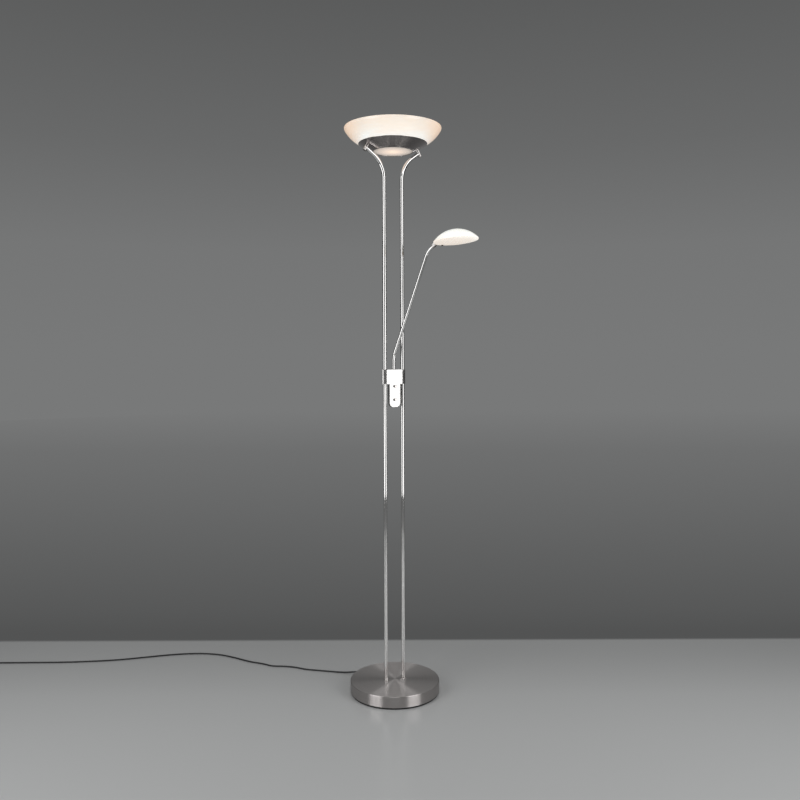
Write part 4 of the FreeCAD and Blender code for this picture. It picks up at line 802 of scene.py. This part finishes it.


# greys of the floor, from front to back, darker towards the back as painted shade; of the backdrop, below
# the eye by its angle's tangent and above the eye by its sine, lightest near the eye's height as painted
# light falloff; and of the room's other sides, by the sine, as mirrors show them
floor_half, floor_front, floor_back = 12.0, -0.35, 0.45
painted_floor_falloff = ((0.0, grey(0.64)), (0.35, grey(0.62)), (0.8, grey(0.54)), (1.0, grey(0.50)))
wall_start, wall_full = 0.455, 0.485
painted_backdrop_low = ((0.076, grey(0.191)), (0.124, grey(0.159)), (0.2475, grey(0.1195)), (0.323, grey(0.0976)),
                (0.350, grey(0.0865)))
painted_backdrop_high = ((0.0, grey(0.191)), (0.117, grey(0.181)), (0.23, grey(0.141)), (0.4, grey(0.102)),
                 (0.55, grey(0.30)), (1.0, grey(0.42)))
backdrop_edge, backdrop_full = 0.85, 1.0  # cosines of the angle from straight behind the lamp
room_greys = ((0.0, grey(0.02)), (0.22, grey(0.04)), (0.38, grey(0.30)), (0.6, grey(0.32)), (1.0, grey(0.42)))
room_light = 0.23
softbox_distance = 2.4


def make_floor():
    """A wide pale floor, darker towards the back by painted shade, that gives way to the backdrop behind the
    lamp, which lightens upwards towards the eye's height by painted light falloff. Both run along the
    camera's
    azimuth: the backdrop's grey follows eye height over the distance from the eye."""
    corners = [(x, y, 0.0) for y in (-floor_half, floor_half) for x in (-floor_half, floor_half)]
    mesh = bpy.data.meshes.new("floor")
    mesh.from_pydata(corners, [], [[0, 1, 3, 2]])
    floor = bpy.data.objects.new("floor", mesh)
    bpy.context.scene.collection.objects.link(floor)
    material, tree, shader = node_material("floor_paper")
    nodes, links = tree.nodes, tree.links
    coordinates = nodes.new("ShaderNodeTexCoord")
    mapping = nodes.new("ShaderNodeMapping")
    mapping.inputs["Rotation"].default_value = (0.0, 0.0, math.radians(view_azimuth))
    links.new(coordinates.outputs["Object"], mapping.inputs["Vector"])
    split = nodes.new("ShaderNodeSeparateXYZ")
    links.new(mapping.outputs["Vector"], split.inputs[0])
    back = split.outputs["Y"]
    # painted shade: the floor's grey falls off from front to back
    paper = stops(tree, share(tree, back, floor_front, floor_back), painted_floor_falloff)
    links.new(paper, shader.inputs["Base Color"])
    shader.inputs["Roughness"].default_value = 0.24
    away = nodes.new("ShaderNodeMath")
    links.new(back, away.inputs[0])
    away.inputs[1].default_value = eye_distance
    fall = nodes.new("ShaderNodeMath")
    fall.operation = "DIVIDE"
    fall.inputs[0].default_value = eye[2]
    links.new(away.outputs[0], fall.inputs[1])
    wall = nodes.new("ShaderNodeEmission")
    # painted light falloff on the backdrop: lightest near the eye's height, darker lower down the wall
    links.new(stops(tree, fall.outputs[0], painted_backdrop_low), wall.inputs["Color"])
    mix = nodes.new("ShaderNodeMixShader")
    links.new(share(tree, back, wall_start, wall_full), mix.inputs[0])
    links.new(shader.outputs[0], mix.inputs[1])
    links.new(wall.outputs[0], mix.inputs[2])
    links.new(mix.outputs[0], nodes["Material Output"].inputs["Surface"])
    mesh.materials.append(material)


def make_world():
    """The backdrop's grey, with its painted light falloff, for what is seen and mirrored, a dim room in
    mirrors away from the backdrop, and a plain soft light for the rest."""
    world = bpy.data.worlds.new("studio")
    bpy.context.scene.world = world
    world.use_nodes = True
    tree = world.node_tree
    nodes, links = tree.nodes, tree.links
    nodes.clear()
    path = nodes.new("ShaderNodeLightPath")
    seen = nodes.new("ShaderNodeMath")
    seen.operation = "MAXIMUM"
    links.new(path.outputs["Is Camera Ray"], seen.inputs[0])
    links.new(path.outputs["Is Glossy Ray"], seen.inputs[1])
    shown = nodes.new("ShaderNodeMath")
    shown.operation = "MAXIMUM"
    links.new(seen.outputs[0], shown.inputs[0])
    links.new(path.outputs["Is Transmission Ray"], shown.inputs[1])
    direction = nodes.new("ShaderNodeTexCoord").outputs["Generated"]
    split = nodes.new("ShaderNodeSeparateXYZ")
    links.new(direction, split.inputs[0])
    facing = nodes.new("ShaderNodeVectorMath")
    facing.operation = "DOT_PRODUCT"
    turn = math.radians(view_azimuth)
    facing.inputs[1].default_value = (math.sin(turn), math.cos(turn), 0.0)
    links.new(direction, facing.inputs[0])
    behind = nodes.new("ShaderNodeMath")
    behind.operation = "MAXIMUM"
    links.new(path.outputs["Is Camera Ray"], behind.inputs[0])
    near = share(tree, facing.outputs["Value"], backdrop_edge, backdrop_full)
    links.new(near, behind.inputs[1])
    colour = nodes.new("ShaderNodeMix")
    colour.data_type = "RGBA"
    links.new(behind.outputs[0], colour.inputs["Factor"])
    links.new(stops(tree, split.outputs["Z"], room_greys), colour.inputs["A"])
    # painted light falloff on the backdrop above the eye: darker upwards
    links.new(stops(tree, split.outputs["Z"], painted_backdrop_high), colour.inputs["B"])
    light, backdrop = nodes.new("ShaderNodeBackground"), nodes.new("ShaderNodeBackground")
    light.inputs["Color"].default_value = (1.0, 1.0, 1.0, 1.0)
    light.inputs["Strength"].default_value = room_light
    links.new(colour.outputs["Result"], backdrop.inputs["Color"])
    mix, out = nodes.new("ShaderNodeMixShader"), nodes.new("ShaderNodeOutputWorld")
    links.new(shown.outputs[0], mix.inputs[0])
    links.new(light.outputs[0], mix.inputs[1])
    links.new(backdrop.outputs[0], mix.inputs[2])
    links.new(mix.outputs[0], out.inputs["Surface"])


def softbox(name, azimuth, centre_z, width, height, radiance, aim_z):
    """A soft lamp at an azimuth from the lamp's front, in degrees towards +X, turned to the lamp's axis
    at height aim_z."""
    data = bpy.data.lights.new(name, "AREA")
    data.shape, data.size, data.size_y = "RECTANGLE", width, height
    data.energy = radiance * math.pi * width * height
    lamp = bpy.data.objects.new(name, data)
    bpy.context.scene.collection.objects.link(lamp)
    a = math.radians(azimuth)
    lamp.location = (softbox_distance * math.sin(a), -softbox_distance * math.cos(a), centre_z)
    aim = Vector((0.0, 0.0, aim_z)) - lamp.location
    lamp.rotation_euler = aim.to_track_quat("-Z", "Y").to_euler()
    lamp.visible_camera = False


make_floor()
make_world()
softbox("key_right", azimuth=21.0, centre_z=1.45, width=1.35, height=2.5, radiance=2.3, aim_z=1.45)
softbox("key_left", azimuth=-76.0, centre_z=1.45, width=1.3, height=2.5, radiance=2.3, aim_z=1.45)
softbox("front_top", azimuth=-view_azimuth, centre_z=3.3, width=1.5, height=0.9, radiance=2.0, aim_z=1.6)
bpy.context.scene.view_settings.view_transform = "Standard"
